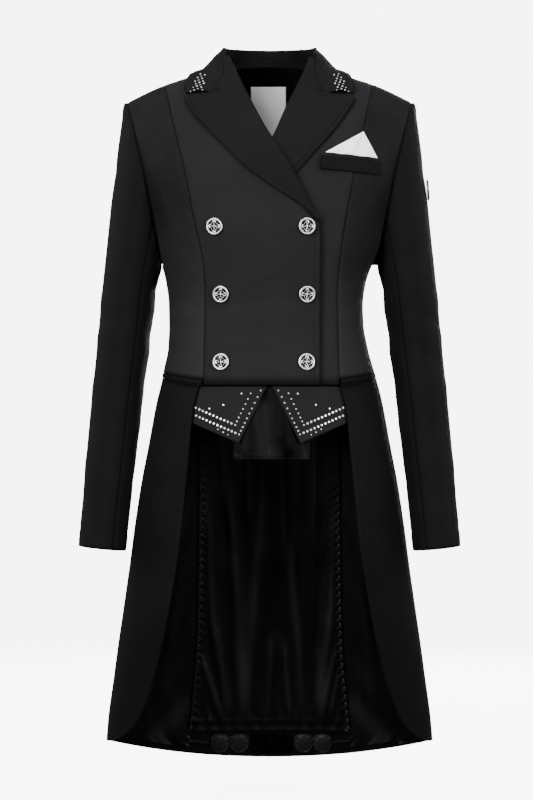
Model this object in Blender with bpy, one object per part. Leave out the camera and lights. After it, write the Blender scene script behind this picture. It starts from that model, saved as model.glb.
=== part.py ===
"""Dressage tailcoat, women's size 38, as it hangs on a wearer.

+Z is up, +X is the wearer's left and -Y the front. The origin is inside the neck, at the height of
the seam between the back and the collar. Sizes are in millimetres and become metres in build_wall.
"""

import math
from collections import namedtuple

import bmesh
import bpy
from mathutils import Matrix, Vector

MM = 0.001

# Cloth
CLOTH = 1.6
LINING = 1.2
COLLAR_CLOTH = 2.2
SEAM_GAP = 0.3
LAID_GAP = 1.0  # between a piece and what it lies on

# Body: half-width, depth in front of and behind the side seams, and how far the middle leans
BodyRow = namedtuple("BodyRow", "z width front back lean")
BODY = [
    BodyRow(20, 250, 30, 62, 0),
    BodyRow(0, 245, 42, 73, 0),
    BodyRow(-24, 240, 55, 83, 0),
    BodyRow(-60, 228, 77, 93, 0),
    BodyRow(-100, 215, 97, 100, 0),
    BodyRow(-138, 203, 112, 105, 0),
    BodyRow(-180, 188, 122, 108, 0),
    BodyRow(-230, 169, 127, 107, 0),
    BodyRow(-262, 158, 125, 103, -1),
    BodyRow(-298, 145, 119, 95, -4),
    BodyRow(-326, 138, 113, 86, -5),
    BodyRow(-354, 135.8, 109, 80, -5),
    BodyRow(-382, 136.5, 107, 80, -4),
    BodyRow(-410, 140, 107, 86, -2),
    BodyRow(-438, 147, 109, 94, -1),
    BodyRow(-458, 151.5, 111, 99, 0),
    BodyRow(-480, 157, 112, 104, 0),
    BodyRow(-536, 167, 113, 113, 0),
    BodyRow(-592, 178, 113, 121, 0),
    BodyRow(-648, 187, 112, 128, 0),
    BodyRow(-704, 195, 111, 134, 0),
    BodyRow(-760, 203, 109, 139, 0),
    BodyRow(-816, 211, 107, 143, 0),
    BodyRow(-872, 218.5, 104, 147, 0),
    BodyRow(-928, 226, 101, 150, 0),
    BodyRow(-1000, 231, 98, 153, 0),
]
ROUNDNESS = 2.3  # exponent of the body's superellipse

# Shoulder line: its height at each distance from the middle. Inside the neck it only guides the form.
ShoulderRow = namedtuple("ShoulderRow", "x z")
SHOULDER = [
    ShoulderRow(0, 95),
    ShoulderRow(40, 60),
    ShoulderRow(58, 30),
    ShoulderRow(78, -14),
    ShoulderRow(111, -27.5),
    ShoulderRow(153, -42),
    ShoulderRow(199, -64),
    ShoulderRow(230, -80),
]
SHOULDER_RADIUS = 70

# Seams, each as a distance from the middle at each height
SeamRow = namedtuple("SeamRow", "z x")
PRINCESS_RIGHT = [
    SeamRow(-459, 91), SeamRow(-380, 89.5), SeamRow(-322, 89), SeamRow(-281, 93),
    SeamRow(-226, 105), SeamRow(-170, 115.5), SeamRow(-102, 132), SeamRow(-36, 147),
]
PRINCESS_LEFT = [
    SeamRow(-459, 96), SeamRow(-380, 94.5), SeamRow(-322, 94), SeamRow(-281, 97.5),
    SeamRow(-226, 105.5), SeamRow(-170, 116), SeamRow(-102, 130), SeamRow(-36, 144),
]
ARMHOLE_FRONT = [
    SeamRow(-290, 149), SeamRow(-278, 151.5), SeamRow(-230, 161), SeamRow(-180, 170),
    SeamRow(-138, 180), SeamRow(-99, 189.5), SeamRow(-64, 199),
]
ARMHOLE_BACK = [
    SeamRow(-290, 149), SeamRow(-275, 153), SeamRow(-230, 164), SeamRow(-180, 175),
    SeamRow(-138, 184), SeamRow(-99, 191), SeamRow(-64, 199),
]
ARMPIT_Z = -290
SHOULDER_POINT_Z = -64

# Roll lines. The wearer's right front laps over the left one, so its line goes on to its front edge.
BREAK_Z = -237
ROLL_RIGHT = [
    SeamRow(-460, 69), SeamRow(-300, 69), SeamRow(BREAK_Z, 67.5), SeamRow(-218, 54.5), SeamRow(-170, 30),
    SeamRow(-125, 2), SeamRow(-111, -7), SeamRow(-74, -27), SeamRow(-27, -49.5), SeamRow(-3, -60),
]
ROLL_LEFT = [
    SeamRow(-460, -60), SeamRow(-300, -60), SeamRow(BREAK_Z, -58), SeamRow(-218, -50), SeamRow(-170, -27),
    SeamRow(-128, 1), SeamRow(-112, 10.5), SeamRow(-83, 23), SeamRow(-27, 50), SeamRow(-3, 60),
]
PANEL_EDGE_RIGHT = [
    SeamRow(-460, 69), SeamRow(-300, 69), SeamRow(BREAK_Z, 67.5), SeamRow(-218, 54.5), SeamRow(-170, 30),
    SeamRow(-125, 2), SeamRow(-111, -8), SeamRow(-74, -31), SeamRow(-40, -54), SeamRow(-14, -79),
]
PANEL_EDGE_LEFT = [
    SeamRow(-460, -60), SeamRow(-300, -60), SeamRow(BREAK_Z, -58), SeamRow(-218, -50), SeamRow(-170, -27),
    SeamRow(-128, 1), SeamRow(-112, 12), SeamRow(-74, 31), SeamRow(-40, 54), SeamRow(-14, 79),
]
UNDERLAP_DEPTH = 7.5  # how far the left front lies below the right one

# Hem lines of the coat's body
EdgeRow = namedtuple("EdgeRow", "x z")
BODY_HEM_Z = -459
BAND_TOP = [EdgeRow(0, -452), EdgeRow(91, -451), EdgeRow(125, -447), EdgeRow(152, -441)]
BAND_HEIGHT = 7
BAND_GAP = 0.9
FRONT_BAND_Z = -451  # the band's top where it meets the front's centre panels
BACK_WAIST_Z = -441
BACK_MIDDLE_Z = -449

# Lapel outlines from the break point round to the roll line
OutlineRow = namedtuple("OutlineRow", "x z roll_z")
LAPEL_RIGHT = [
    OutlineRow(64, -235, -234), OutlineRow(42, -214, -215), OutlineRow(3.7, -189, -185),
    OutlineRow(-34.6, -160.5, -152), OutlineRow(-77, -117.5, -112), OutlineRow(-104, -88, -86),
    OutlineRow(-117.4, -66, -63), OutlineRow(-96, -60.8, -52), OutlineRow(-74.6, -56, -41),
    OutlineRow(-67, -42, -29), OutlineRow(-61.5, -27, -17), OutlineRow(-62.5, -6, -5),
]
LAPEL_LEFT = [
    OutlineRow(34, -172, -158), OutlineRow(54, -149, -140), OutlineRow(74, -127, -120),
    OutlineRow(87, -112, -106), OutlineRow(98, -97.5, -92), OutlineRow(109, -81, -77),
    OutlineRow(118.4, -65.6, -63), OutlineRow(97, -60.6, -52),
    OutlineRow(74.6, -56, -41), OutlineRow(67, -42, -29), OutlineRow(61.5, -27, -17),
    OutlineRow(62.5, -6, -5),
]

# Collar, from the middle of the back to its front end. The fold is in space; the middle and the
# edge of the fall lie on the body, behind the shoulder line (+1), on it (0) or in front (-1).
CollarRow = namedtuple("CollarRow", "fold_x fold_y fold_z mid_x mid_z edge_x edge_z side")
COLLAR = [
    CollarRow(0, 71, 15, 0, -14, 0, -42, 1),
    CollarRow(24, 67, 15, 30, -14, 38, -43, 1),
    CollarRow(44, 55, 14.5, 56, -15, 78, -43, 1),
    CollarRow(58, 36, 13.5, 75, -14, 101, -36, 1),
    CollarRow(65, 12, 13, 87, -18, 108, -27, 0),
    CollarRow(65, -6, 9, 84, -32, 115, -40, -1),
    CollarRow(62.5, -19, 3, 79, -44, 117, -50, -1),
    CollarRow(60.5, -31, -3, 74.6, -54.2, 114.5, -58.6, -1),
]
NECK_SEAM_X = [0, 26, 49, 66, 78]  # where the stand meets the neck, for each of the collar's first rows
NECK_SEAM = [EdgeRow(0, 0), EdgeRow(50, -4), EdgeRow(78, -14), EdgeRow(90, -18)]

# Sleeves: the tube's centre and half sizes at each height, below the armhole
SleeveRow = namedtuple("SleeveRow", "z x width y depth")
SLEEVE = [
    SleeveRow(-335, 197.2, 37.5, 2, 61),
    SleeveRow(-410, 205, 36.4, 0, 58),
    SleeveRow(-480, 213, 35.5, -5, 55),
    SleeveRow(-550, 220, 34.8, -11, 52),
    SleeveRow(-620, 226.8, 33.7, -18, 49),
    SleeveRow(-686, 232.8, 33, -24, 46.5),
]
SLEEVE_SLANT = 0.1
SLEEVE_GAP = 1.0
SLEEVE_HEAD = 3.0  # how far the sleeve's head stands out past the shoulder seam

# Skirt: its cut-away front edge, its seam with the tail and its hem
CUTAWAY = [
    SeamRow(-460, 97), SeamRow(-491, 104.4), SeamRow(-561, 111.4), SeamRow(-684, 124),
    SeamRow(-789, 141.6), SeamRow(-860, 158), SeamRow(-905, 173), SeamRow(-933, 189),
    SeamRow(-948, 207), SeamRow(-954, 221),
]
TAIL_SEAM_TURN = 128
HEM_BACK_Z = -996
HEM_FRONT_Z = -954

# Lining inside the tail
LINING_SEAM = [
    SeamRow(-995, 122), SeamRow(-930, 114), SeamRow(-820, 105), SeamRow(-520, 101), SeamRow(-440, 101),
]
LINING_PANEL_HEM_Z = -958
LINING_FOLDS = 11
LINING_INSET = 9
LINING_LIFT = -4.0
LINING_TOP_Z = -462

# Points under the waist and the flap behind them
POINT_TOP_Z = -460.5
PointRow = namedtuple("PointRow", "x z")
POINT_CORNERS = {
    "inner_top": PointRow(3, POINT_TOP_Z),
    "tip": PointRow(42.5, -540),
    "outer_low": PointRow(109, -511.8),
    "outer_top": PointRow(109, POINT_TOP_Z),
}
POINT_LIFT = -5.2
FLAP_LIFT = -10.5
FLAP_LEFT_X = -47
FLAP_RIGHT_X = 57
FLAP_HEM_Z = -561
FLAP_FOLDS = 5

# Breast pocket
WELT = {"low_left": PointRow(68, -165), "low_right": PointRow(150.5, -171.5),
        "top_left": PointRow(70.5, -146), "top_right": PointRow(150, -152)}
SQUARE = {"left": PointRow(76, -142), "apex": PointRow(128, -112.5), "right": PointRow(147, -148)}

# Buttons, the sleeve badge, the neck label and the pouches
BUTTON_RADIUS = 11.7
BUTTONS = {
    "top_right": PointRow(-74.5, -243), "top_left": PointRow(50.7, -243),
    "middle_right": PointRow(-66, -335), "middle_left": PointRow(50.7, -335),
    "bottom_right": PointRow(-66, -428), "bottom_left": PointRow(50.3, -428),
}
BADGE_Z = -167
BADGE_RADIUS = 15
LABEL = {"left": -26.5, "right": 23.5, "top": -33, "bottom": -105}
TAB = {"left": -5.5, "right": 7, "top": -106, "bottom": -115}
POUCH_RADIUS = 13.6
POUCHES = {"outer_right": -72, "inner_right": -44, "inner_left": 50, "outer_left": 77.5}
POUCH_Z = -976
PLEATS = {"left": -27, "right": 33, "top": -961, "bottom": -990, "count": 5, "depth": 2.2}

MATERIALS = {  # base colour, roughness, metallic
    "cloth": ((0.012, 0.012, 0.013, 1), 0.85, 0),
    "satin": ((0.008, 0.008, 0.010, 1), 0.3, 0),
    "white_cotton": ((0.85, 0.86, 0.88, 1), 0.8, 0),
    "silver": ((0.7, 0.7, 0.72, 1), 0.25, 1),
    "label": ((0.45, 0.45, 0.47, 1), 0.5, 0),
}


def clear_scene():
    for thing in list(bpy.data.objects):
        bpy.data.objects.remove(thing)


def material(slot):
    found = bpy.data.materials.get(slot)
    if found:
        return found
    made = bpy.data.materials.new(slot)
    made.use_nodes = True
    shader = made.node_tree.nodes["Principled BSDF"]
    colour, roughness, metallic = MATERIALS[slot]
    shader.inputs["Base Color"].default_value = colour
    shader.inputs["Roughness"].default_value = roughness
    shader.inputs["Metallic"].default_value = metallic
    return made


def lerp(a, b, share):
    return a + (b - a) * share


def ease(share):
    share = min(max(share, 0), 1)
    return share * share * (3 - 2 * share)


def read(table, key, column, at):
    """The column's value on a smooth curve through the table's rows, which are in order of key."""
    keys = [getattr(row, key) for row in table]
    values = [getattr(row, column) for row in table]
    if keys[0] > keys[-1]:
        keys.reverse()
        values.reverse()
    at = min(max(at, keys[0]), keys[-1])
    i = max(k for k in range(len(keys) - 1) if keys[k] <= at)

    def slope(k):
        low, high = max(k - 1, 0), min(k + 1, len(keys) - 1)
        return (values[high] - values[low]) / (keys[high] - keys[low])

    span = keys[i + 1] - keys[i]
    t = (at - keys[i]) / span
    start, end = slope(i) * span, slope(i + 1) * span
    a, b = values[i], values[i + 1]
    return (
        a * (2 * t**3 - 3 * t**2 + 1) + start * (t**3 - 2 * t**2 + t)
        + b * (3 * t**2 - 2 * t**3) + end * (t**3 - t**2)
    )


# ---- The body's form: every panel, skirt and lining is a stretch of it ----


def shoulder_z(x):
    return read(SHOULDER, "x", "z", abs(x))


def depth(x, z, back):
    """How far the form stands in front of or behind the side seams at x, z."""
    across = min(abs(x - read(BODY, "z", "lean", z)) / read(BODY, "z", "width", z), 1)
    below = min(max((shoulder_z(x) - z) / SHOULDER_RADIUS, 0), 1) if z > -300 else 1
    full = read(BODY, "z", "back" if back else "front", z)
    return full * (1 - across**ROUNDNESS) ** (1 / ROUNDNESS) * math.sqrt(below * (2 - below))


def on_body(x, z, back=False, lift=0):
    """The point of the form at x, z, moved out by lift."""
    step = 0.05
    y = depth(x, z, back)
    slope_x = (depth(x + step, z, back) ** 2 - depth(x - step, z, back) ** 2) / (2 * step)
    slope_z = (depth(x, z + step, back) ** 2 - depth(x, z - step, back) ** 2) / (2 * step)
    sign = 1 if back else -1
    out = Vector((-slope_x, sign * 2 * y, -slope_z)).normalized()
    return Vector((x, sign * y, z)) + out * lift


def turn_of(x, z, back=False):
    """The angle round the body, in degrees from the middle of the front, of the point at x, z."""
    share = (x - read(BODY, "z", "lean", z)) / read(BODY, "z", "width", z)
    share = min(max(share, -1), 1)
    angle = math.degrees(math.asin(abs(share) ** (ROUNDNESS / 2)))
    return math.copysign(180 - angle if back else angle, share)


def at_turn(turn, z, lift=0):
    """The point of the form at an angle round the body, moved out by lift."""
    share = abs(math.sin(math.radians(turn))) ** (2 / ROUNDNESS)
    x = math.copysign(share, turn) * read(BODY, "z", "width", z) * 0.999999 + read(BODY, "z", "lean", z)
    return on_body(x, z, abs(turn) > 90, lift)


# ---- Solids ----


def finish(name, slot, mesh_maker):
    mesh = bpy.data.meshes.new(name)
    mesh_maker.verts.ensure_lookup_table()
    bmesh.ops.scale(mesh_maker, vec=(MM, MM, MM), verts=mesh_maker.verts)
    bmesh.ops.triangulate(mesh_maker, faces=mesh_maker.faces)
    mesh_maker.to_mesh(mesh)
    mesh_maker.free()
    thing = bpy.data.objects.new(name, mesh)
    bpy.context.collection.objects.link(thing)
    mesh.materials.append(material(slot))
    mesh.shade_smooth()
    mesh.set_sharp_from_angle(angle=math.radians(40))
    return thing


def build_wall(name, slot, outer, inner):
    """A closed wall between two grids of points, rows from bottom to top and columns to the wearer's left."""
    made = bmesh.new()
    rows, columns = len(outer), len(outer[0])
    front = [[made.verts.new(p) for p in row] for row in outer]
    rear = [[made.verts.new(p) for p in row] for row in inner]
    for i in range(rows - 1):
        for j in range(columns - 1):
            made.faces.new((front[i][j], front[i][j + 1], front[i + 1][j + 1], front[i + 1][j]))
            made.faces.new((rear[i][j], rear[i + 1][j], rear[i + 1][j + 1], rear[i][j + 1]))
    rim = [(0, j) for j in range(columns - 1)] + [(i, columns - 1) for i in range(rows - 1)]
    rim += [(rows - 1, j) for j in range(columns - 1, 0, -1)] + [(i, 0) for i in range(rows - 1, 0, -1)]
    for a, b in zip(rim, rim[1:] + rim[:1]):
        made.faces.new((front[a[0]][a[1]], rear[a[0]][a[1]], rear[b[0]][b[1]], front[b[0]][b[1]]))
    if made.calc_volume(signed=True) < 0:
        bmesh.ops.reverse_faces(made, faces=made.faces)
    return finish(name, slot, made)


def thicken(grid, thickness):
    """The two faces of a wall whose middle is the grid, from the grid's own slopes."""
    rows, columns = len(grid), len(grid[0])
    outer, inner = [], []
    for i in range(rows):
        outer.append([])
        inner.append([])
        for j in range(columns):
            along = grid[min(i + 1, rows - 1)][j] - grid[max(i - 1, 0)][j]
            across = grid[i][min(j + 1, columns - 1)] - grid[i][max(j - 1, 0)]
            out = across.cross(along).normalized() * thickness / 2
            outer[-1].append(grid[i][j] + out)
            inner[-1].append(grid[i][j] - out)
    return outer, inner


def shares(count):
    return [k / count for k in range(count + 1)]


def laid_patch(name, slot, columns, rows, place, lift, thickness):
    """A wall on the body; place gives x, z and back, or turn and z, at a share across and a share up."""
    outer, inner = [], []
    for up in rows:
        outer.append([])
        inner.append([])
        for across in columns:
            spot = place(across, up)
            high = lift(across, up) if callable(lift) else lift
            for grid, level in ((outer, high), (inner, high - thickness)):
                grid[-1].append(at_turn(*spot, level) if len(spot) == 2 else on_body(*spot, level))
    return build_wall(name, slot, outer, inner)


# ---- Bodice ----

# Rows of a bodice panel, closer together where it turns over the shoulder
BODICE_ROWS = [0, 0.1, 0.2, 0.3, 0.4, 0.5, 0.6, 0.7, 0.78, 0.85, 0.9, 0.94, 0.968, 0.988, 0.997, 1]


def bodice_panel(name, left_x, right_x, low_z, top_z, back, columns, lift=0):
    """A panel between two seams, from its lower edge up to its top edge.

    left_x and right_x give x at a height; low_z and top_z give the height at x.
    """

    def spot(across, z):
        turns = [turn_of(left_x(z) + SEAM_GAP / 2, z, back), turn_of(right_x(z) - SEAM_GAP / 2, z, back)]
        if back:
            turns = [turn % 360 for turn in turns]
        turn = lerp(*turns, across)
        return at_turn(turn if turn <= 180 else turn - 360, z).x

    def place(across, up):
        low = top = 0.0
        for _ in range(8):
            low, top = low_z(spot(across, low)), top_z(spot(across, top))
        if low_z(0) == BODY_HEM_Z and up > 0:
            low = FRONT_BAND_Z  # above their hems the front's panels share their rows
        z = lerp(low, top, up)
        return spot(across, z), z, back

    outer, inner = [], []
    for up in BODICE_ROWS:
        row = [place(across, up) for across in shares(columns)]
        part = SEAM_GAP / 2 if up == 1 else 0
        away = Vector((0, part if back else -part, 0))
        levels = [lift(x, z) if callable(lift) else lift for x, z, _ in row]
        outer.append([on_body(*at, level) + away for at, level in zip(row, levels)])
        inner.append([on_body(*at, level - CLOTH) + away for at, level in zip(row, levels)])
    return build_wall(name, "cloth", outer, inner)


def outer_edge(side, armhole):
    """The side seam up to the armpit, and the armhole above it."""

    def edge(z):
        if z > ARMPIT_Z:
            return side * read(armhole, "z", "x", z)
        return side * read(BODY, "z", "width", z) + read(BODY, "z", "lean", z)

    return edge


def seam_edge(side, table):
    return lambda z: side * read(table, "z", "x", z)


def band_top(x):
    return read(BAND_TOP, "x", "z", abs(x))


def back_band_top(turn):
    return lerp(BACK_WAIST_Z, BACK_MIDDLE_Z, ease((abs(turn) - 90) / 80))


def underlap(x, z):
    """How far the left front has sunk under the right one."""
    edge = read(ROLL_RIGHT, "z", "x", z)
    slope = read(PRINCESS_LEFT, "z", "x", z) - edge - 1
    return -UNDERLAP_DEPTH * ease((edge + slope - x) / slope)


def make_bodice():
    body_hem = lambda x: BODY_HEM_Z
    princess_right, princess_left = seam_edge(-1, PRINCESS_RIGHT), seam_edge(1, PRINCESS_LEFT)
    edge_right, edge_left = seam_edge(1, PANEL_EDGE_RIGHT), seam_edge(1, PANEL_EDGE_LEFT)
    side_right, side_left = outer_edge(-1, ARMHOLE_FRONT), outer_edge(1, ARMHOLE_FRONT)
    bodice_panel("front_right_centre", princess_right, edge_right, body_hem, shoulder_z, False, 9)
    bodice_panel("front_right_side", side_right, princess_right, band_top, shoulder_z, False, 6)
    bodice_panel("front_left_centre", edge_left, princess_left, body_hem, shoulder_z, False, 11, underlap)
    bodice_panel("front_left_side", princess_left, side_left, band_top, shoulder_z, False, 6)
    middle = lambda z: 0.0
    back_low = lambda x: back_band_top(turn_of(x, BACK_WAIST_Z, True))
    back_top = lambda x: read(NECK_SEAM, "x", "z", abs(x)) if abs(x) < 78 else shoulder_z(x)
    bodice_panel("back_right", outer_edge(-1, ARMHOLE_BACK), middle, back_low, back_top, True, 9)
    bodice_panel("back_left", middle, outer_edge(1, ARMHOLE_BACK), back_low, back_top, True, 9)


def make_waist_bands():
    for side, name, front_x in ((-1, "waist_band_right", 91), (1, "waist_band_left", 96)):
        start = turn_of(front_x, band_top(front_x))

        def place(across, up):
            share = across if side > 0 else 1 - across
            turn = lerp(start + 0.3, 180 - 0.1, share)
            x = at_turn(turn, -450).x
            top = band_top(x) if turn < 90 else back_band_top(turn)
            top -= 0.9
            z = lerp(top - BAND_HEIGHT + 0.9, top, up)
            return side * turn, z

        laid_patch(name, "cloth", shares(22), shares(1), place, 0.5, CLOTH)


# ---- Lapels and collar ----

# The rolled edge of a lapel in section: how far past the roll line, and how far out
ROLL_SECTION = [(1.9, -0.7), (2.8, 0.5), (2.9, 2.2), (1.6, 4.2)]
LAPEL_SHARES = [0.05, 0.2, 0.4, 0.6, 0.8, 1.0]


def lapel_lift(share):
    return lerp(5.2, LAID_GAP + COLLAR_CLOTH / 2 + 0.4, ease(share * 1.1))


def make_lapel(name, outline, roll, side, sunk):
    """side is -1 for the lapel that turns towards the wearer's right; sunk gives the cloth's own level."""

    def spot(x, z, lift):
        level = sunk(x, z)
        return on_body(x, z, False, lift * (1 + 0.5 * level / UNDERLAP_DEPTH) + level)

    grid = []
    for row in outline:
        roll_x = read(roll, "z", "x", row.roll_z)
        ahead = read(roll, "z", "x", row.roll_z + 1) - roll_x
        past = Vector((1, -ahead)).normalized() * -side
        line = []
        for away, level in ROLL_SECTION:
            x, z = roll_x + past.x * away, row.roll_z + past.y * away
            line.append(spot(x, z, level))
        for share in LAPEL_SHARES:
            x, z = lerp(roll_x, row.x, share), lerp(row.roll_z, row.z, share)
            line.append(spot(x, z, lapel_lift(share)))
        grid.append(line)
    outer, inner = thicken(grid, COLLAR_CLOTH)
    return build_wall(name, "cloth", outer, inner)


def make_lapels():
    make_lapel("lapel_right", LAPEL_RIGHT, ROLL_RIGHT, -1, lambda x, z: 0)
    make_lapel("lapel_left", LAPEL_LEFT, ROLL_LEFT, 1, underlap)


COLLAR_STEPS = 2  # stations between two rows of the table


def collar_station(at):
    """The collar's section at a place along the table: stand, fold and fall."""
    row = {}
    numbered = [(k, entry) for k, entry in enumerate(COLLAR)]
    Spot = namedtuple("Spot", "k value")
    for column in CollarRow._fields:
        row[column] = read([Spot(k, getattr(entry, column)) for k, entry in numbered], "k", "value", at)
    fold = Vector((row["fold_x"], row["fold_y"], row["fold_z"]))
    behind = row["side"] > 0

    def fall(x, z, lift):
        crest = shoulder_z(x)
        z = min(z, crest)
        near = 1 - min(abs(row["side"]), 1)
        return on_body(x, lerp(z, crest, near**3), behind, lift)

    mid = fall(row["mid_x"], row["mid_z"], 7)
    edge = fall(row["edge_x"], row["edge_z"], LAID_GAP + COLLAR_CLOTH / 2 + 1.2)
    front = max(0, at - 4) / 3  # 0 at the shoulder and 1 at the front end
    round_neck = [Spot(k, x) for k, x in enumerate(NECK_SEAM_X)]
    seam_x = lerp(read(round_neck, "k", "value", min(at, 4)), 62, front)
    seam_z = read(NECK_SEAM, "x", "z", seam_x) if front == 0 else lerp(-14, -4, front)
    seam = on_body(seam_x, min(seam_z, shoulder_z(seam_x)), behind, -CLOTH / 2)
    seam = lerp(seam + Vector((0, 0, 1.6)), fold, ease(front) * 0.85)
    out = (mid - fold).normalized()
    inward = (seam - fold).normalized() if (seam - fold).length > 1 else -out
    top = fold + Vector((0, 0, 2.2))
    stand = [seam, lerp(seam, fold, 0.6) - out * 0.4, fold + inward * 1.0 - out * 1.6]
    turned = [top, fold + out * 2.6 - inward * 0.4, lerp(fold, mid, 0.5) + Vector((0, 0, 1.5))]
    return stand + turned + [mid, lerp(mid, edge, 0.5), edge]


def make_collar():
    half = [collar_station(k / COLLAR_STEPS) for k in range((len(COLLAR) - 1) * COLLAR_STEPS + 1)]
    mirrored = [[Vector((-p.x, p.y, p.z)) for p in station] for station in half[:0:-1]]
    outer, inner = thicken(mirrored + half, COLLAR_CLOTH)
    return build_wall("collar", "cloth", outer, inner)


# ---- Sleeves ----

SLEEVE_SIDES = 21
SLEEVE_SEAM = 7  # the front seam's place among the sides, counted from the outer line


def armhole_point(side, angle):
    """A point of the armhole: 0 is the shoulder, 90 the front, 180 the armpit and 270 the back."""
    down = (1 - math.cos(math.radians(angle))) / 2
    z = lerp(SHOULDER_POINT_Z, ARMPIT_Z, down)
    back = angle > 180
    x = read(ARMHOLE_BACK if back else ARMHOLE_FRONT, "z", "x", z)
    return on_body(side * x, z, back, -0.2)


def sleeve_point(side, angle, z):
    row = {column: read(SLEEVE, "z", column, z) for column in SleeveRow._fields}
    turn = math.radians(angle)
    away = math.cos(turn) * row["width"]
    y = row["y"] - math.sin(turn) * row["depth"]
    return Vector((side * (row["x"] + away), y, z + SLEEVE_SLANT * away))


def sleeve_ring(side, step):
    """step runs from 0 at the armhole to 1 at the upper arm."""
    ring = []
    for k in range(SLEEVE_SIDES):
        angle = 360 * k / SLEEVE_SIDES
        high = (1 + math.cos(math.radians(angle))) / 2
        start = armhole_point(side, angle)
        start.x += side * (SLEEVE_GAP + SLEEVE_HEAD * high**3 + SLEEVE_GAP * (1 - high) ** 3)
        end = sleeve_point(side, angle, SLEEVE[0].z)
        span = (end - start).length
        leave = Vector((side * 0.14, -0.1 * math.sin(math.radians(angle)), -0.9)) * span
        arrive = Vector((side * SLEEVE_SLANT, 0, -1)) * span
        t = step
        ring.append(
            start * (2 * t**3 - 3 * t**2 + 1) + leave * (t**3 - 2 * t**2 + t)
            + end * (3 * t**2 - 2 * t**3) + arrive * (t**3 - t**2)
        )
    return ring


def make_sleeves():
    for side, name in ((-1, "right"), (1, "left")):
        heights = [SLEEVE[0].z + (SLEEVE[-1].z - SLEEVE[0].z) * share for share in shares(6)]
        rings = [sleeve_ring(side, t) for t in (0, 0.1, 0.25, 0.45, 0.7, 1)]
        for z in heights[1:]:
            rings.append([sleeve_point(side, 360 * k / SLEEVE_SIDES, z) for k in range(SLEEVE_SIDES)])
        rings.reverse()
        outer, inner = [], []
        for i, ring in enumerate(rings):
            outer.append([])
            inner.append([])
            for k, point in enumerate(ring):
                up = rings[min(i + 1, len(rings) - 1)][k] - rings[max(i - 1, 0)][k]
                along = ring[(k + 1) % SLEEVE_SIDES] - ring[k - 1]
                out = along.cross(up).normalized() * side
                outer[-1].append(point)
                inner[-1].append(point + out * CLOTH)
        spans = {"upper": (-SLEEVE_SEAM, SLEEVE_SEAM), "under": (SLEEVE_SEAM, SLEEVE_SIDES - SLEEVE_SEAM)}
        for part, (first, last) in spans.items():
            columns = [k % SLEEVE_SIDES for k in range(first, last + 1)]
            picked = [[[row[k].copy() for k in columns] for row in rows] for rows in (outer, inner)]
            for rows in picked:
                for row in rows:
                    row[0] += (row[1] - row[0]).normalized() * SEAM_GAP / 2
                    row[-1] += (row[-2] - row[-1]).normalized() * SEAM_GAP / 2
            build_wall(f"sleeve_{name}_{part}", "cloth", *picked)


# ---- Skirt, tail and their lining ----


def hem_z(turn):
    """The height of the skirt's hem, lower towards the back."""
    return lerp(HEM_FRONT_Z, HEM_BACK_Z, ease((abs(turn) - 74) / 106))


def skirt_top(turn):
    """The height of the skirt's upper edge, just under the band."""
    if turn > 90:
        return back_band_top(turn) - BAND_HEIGHT - BAND_GAP
    return band_top(at_turn(turn, -455).x) - BAND_HEIGHT - BAND_GAP


def skirt_place(side, inset=0.0):
    """Places on a skirt, from its cut-away edge round to its seam with the tail and from its hem up."""

    def place(across, up):
        share = across if side > 0 else 1 - across
        top_front, low_front = CUTAWAY[0].z, CUTAWAY[-1].z
        front_z = lerp(low_front + inset, top_front, up)
        front_turn = turn_of(read(CUTAWAY, "z", "x", front_z), front_z) + inset / 1.5
        far_turn = TAIL_SEAM_TURN - 0.1
        turn = lerp(front_turn, far_turn, share)
        low = hem_z(turn) + inset
        z = lerp(low, skirt_top(turn), up)
        z = lerp(front_z, z, ease(share * 4))
        return side * turn, z

    return place


# Rows of a skirt panel from its hem up, closer together where its front edge sweeps back
SKIRT_ROWS = [0, 0.008, 0.022, 0.045, 0.08, 0.14, 0.24, 0.38, 0.54, 0.7, 0.85, 1]


def make_skirt():
    for side, name in ((-1, "right"), (1, "left")):
        laid_patch(f"skirt_{name}", "cloth", shares(10), SKIRT_ROWS, skirt_place(side), 0, CLOTH)

    def tail_place(across, up):
        turn = lerp(TAIL_SEAM_TURN + 0.1, 360 - TAIL_SEAM_TURN - 0.1, across)
        turn = turn if turn <= 180 else turn - 360
        return turn, lerp(hem_z(turn), skirt_top(abs(turn)), up)

    laid_patch("tail_back", "cloth", shares(12), SKIRT_ROWS, tail_place, 0, CLOTH)


def lining_wave(across, up):
    """Soft folds that hang from the waist and draw in at the gathered hem."""
    fade = lerp(0.55, 1, up) * ease(across * 8) * ease((1 - across) * 8)
    wave = math.sin(math.pi * LINING_FOLDS * across) + 0.5 * math.sin(math.pi * 7 * across + 1.3)
    return -6.5 + 2.0 * wave * fade


def make_lining():
    seam_gap = 0.5

    def centre_place(across, up):
        z = lerp(LINING_PANEL_HEM_Z, LINING_TOP_Z, up)
        reach = read(LINING_SEAM, "z", "x", z) - seam_gap
        turn = lerp(turn_of(reach, z, True), 360 + turn_of(-reach, z, True), across)
        return (turn if turn <= 180 else turn - 360), z

    laid_patch("lining_centre", "satin", shares(26), shares(9), centre_place, lining_wave, LINING)
    for side, name in ((-1, "right"), (1, "left")):
        whole = skirt_place(side, LINING_INSET)

        def place(across, up):
            share = across if side > 0 else 1 - across
            front_turn, front_z = whole(0 if side > 0 else 1, up)
            far_z = lerp(hem_z(110) + LINING_INSET, LINING_TOP_Z, up)
            far_turn = turn_of(read(LINING_SEAM, "z", "x", far_z) + seam_gap, far_z, True)
            turn = lerp(abs(front_turn), far_turn, share)
            z = lerp(hem_z(turn) + LINING_INSET, LINING_TOP_Z, up)
            return side * turn, lerp(front_z, z, ease(share * 4))

        rows = SKIRT_ROWS[:-1] + [0.985]
        laid_patch(f"lining_side_{name}", "satin", shares(12), rows, place, LINING_LIFT, LINING)


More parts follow.
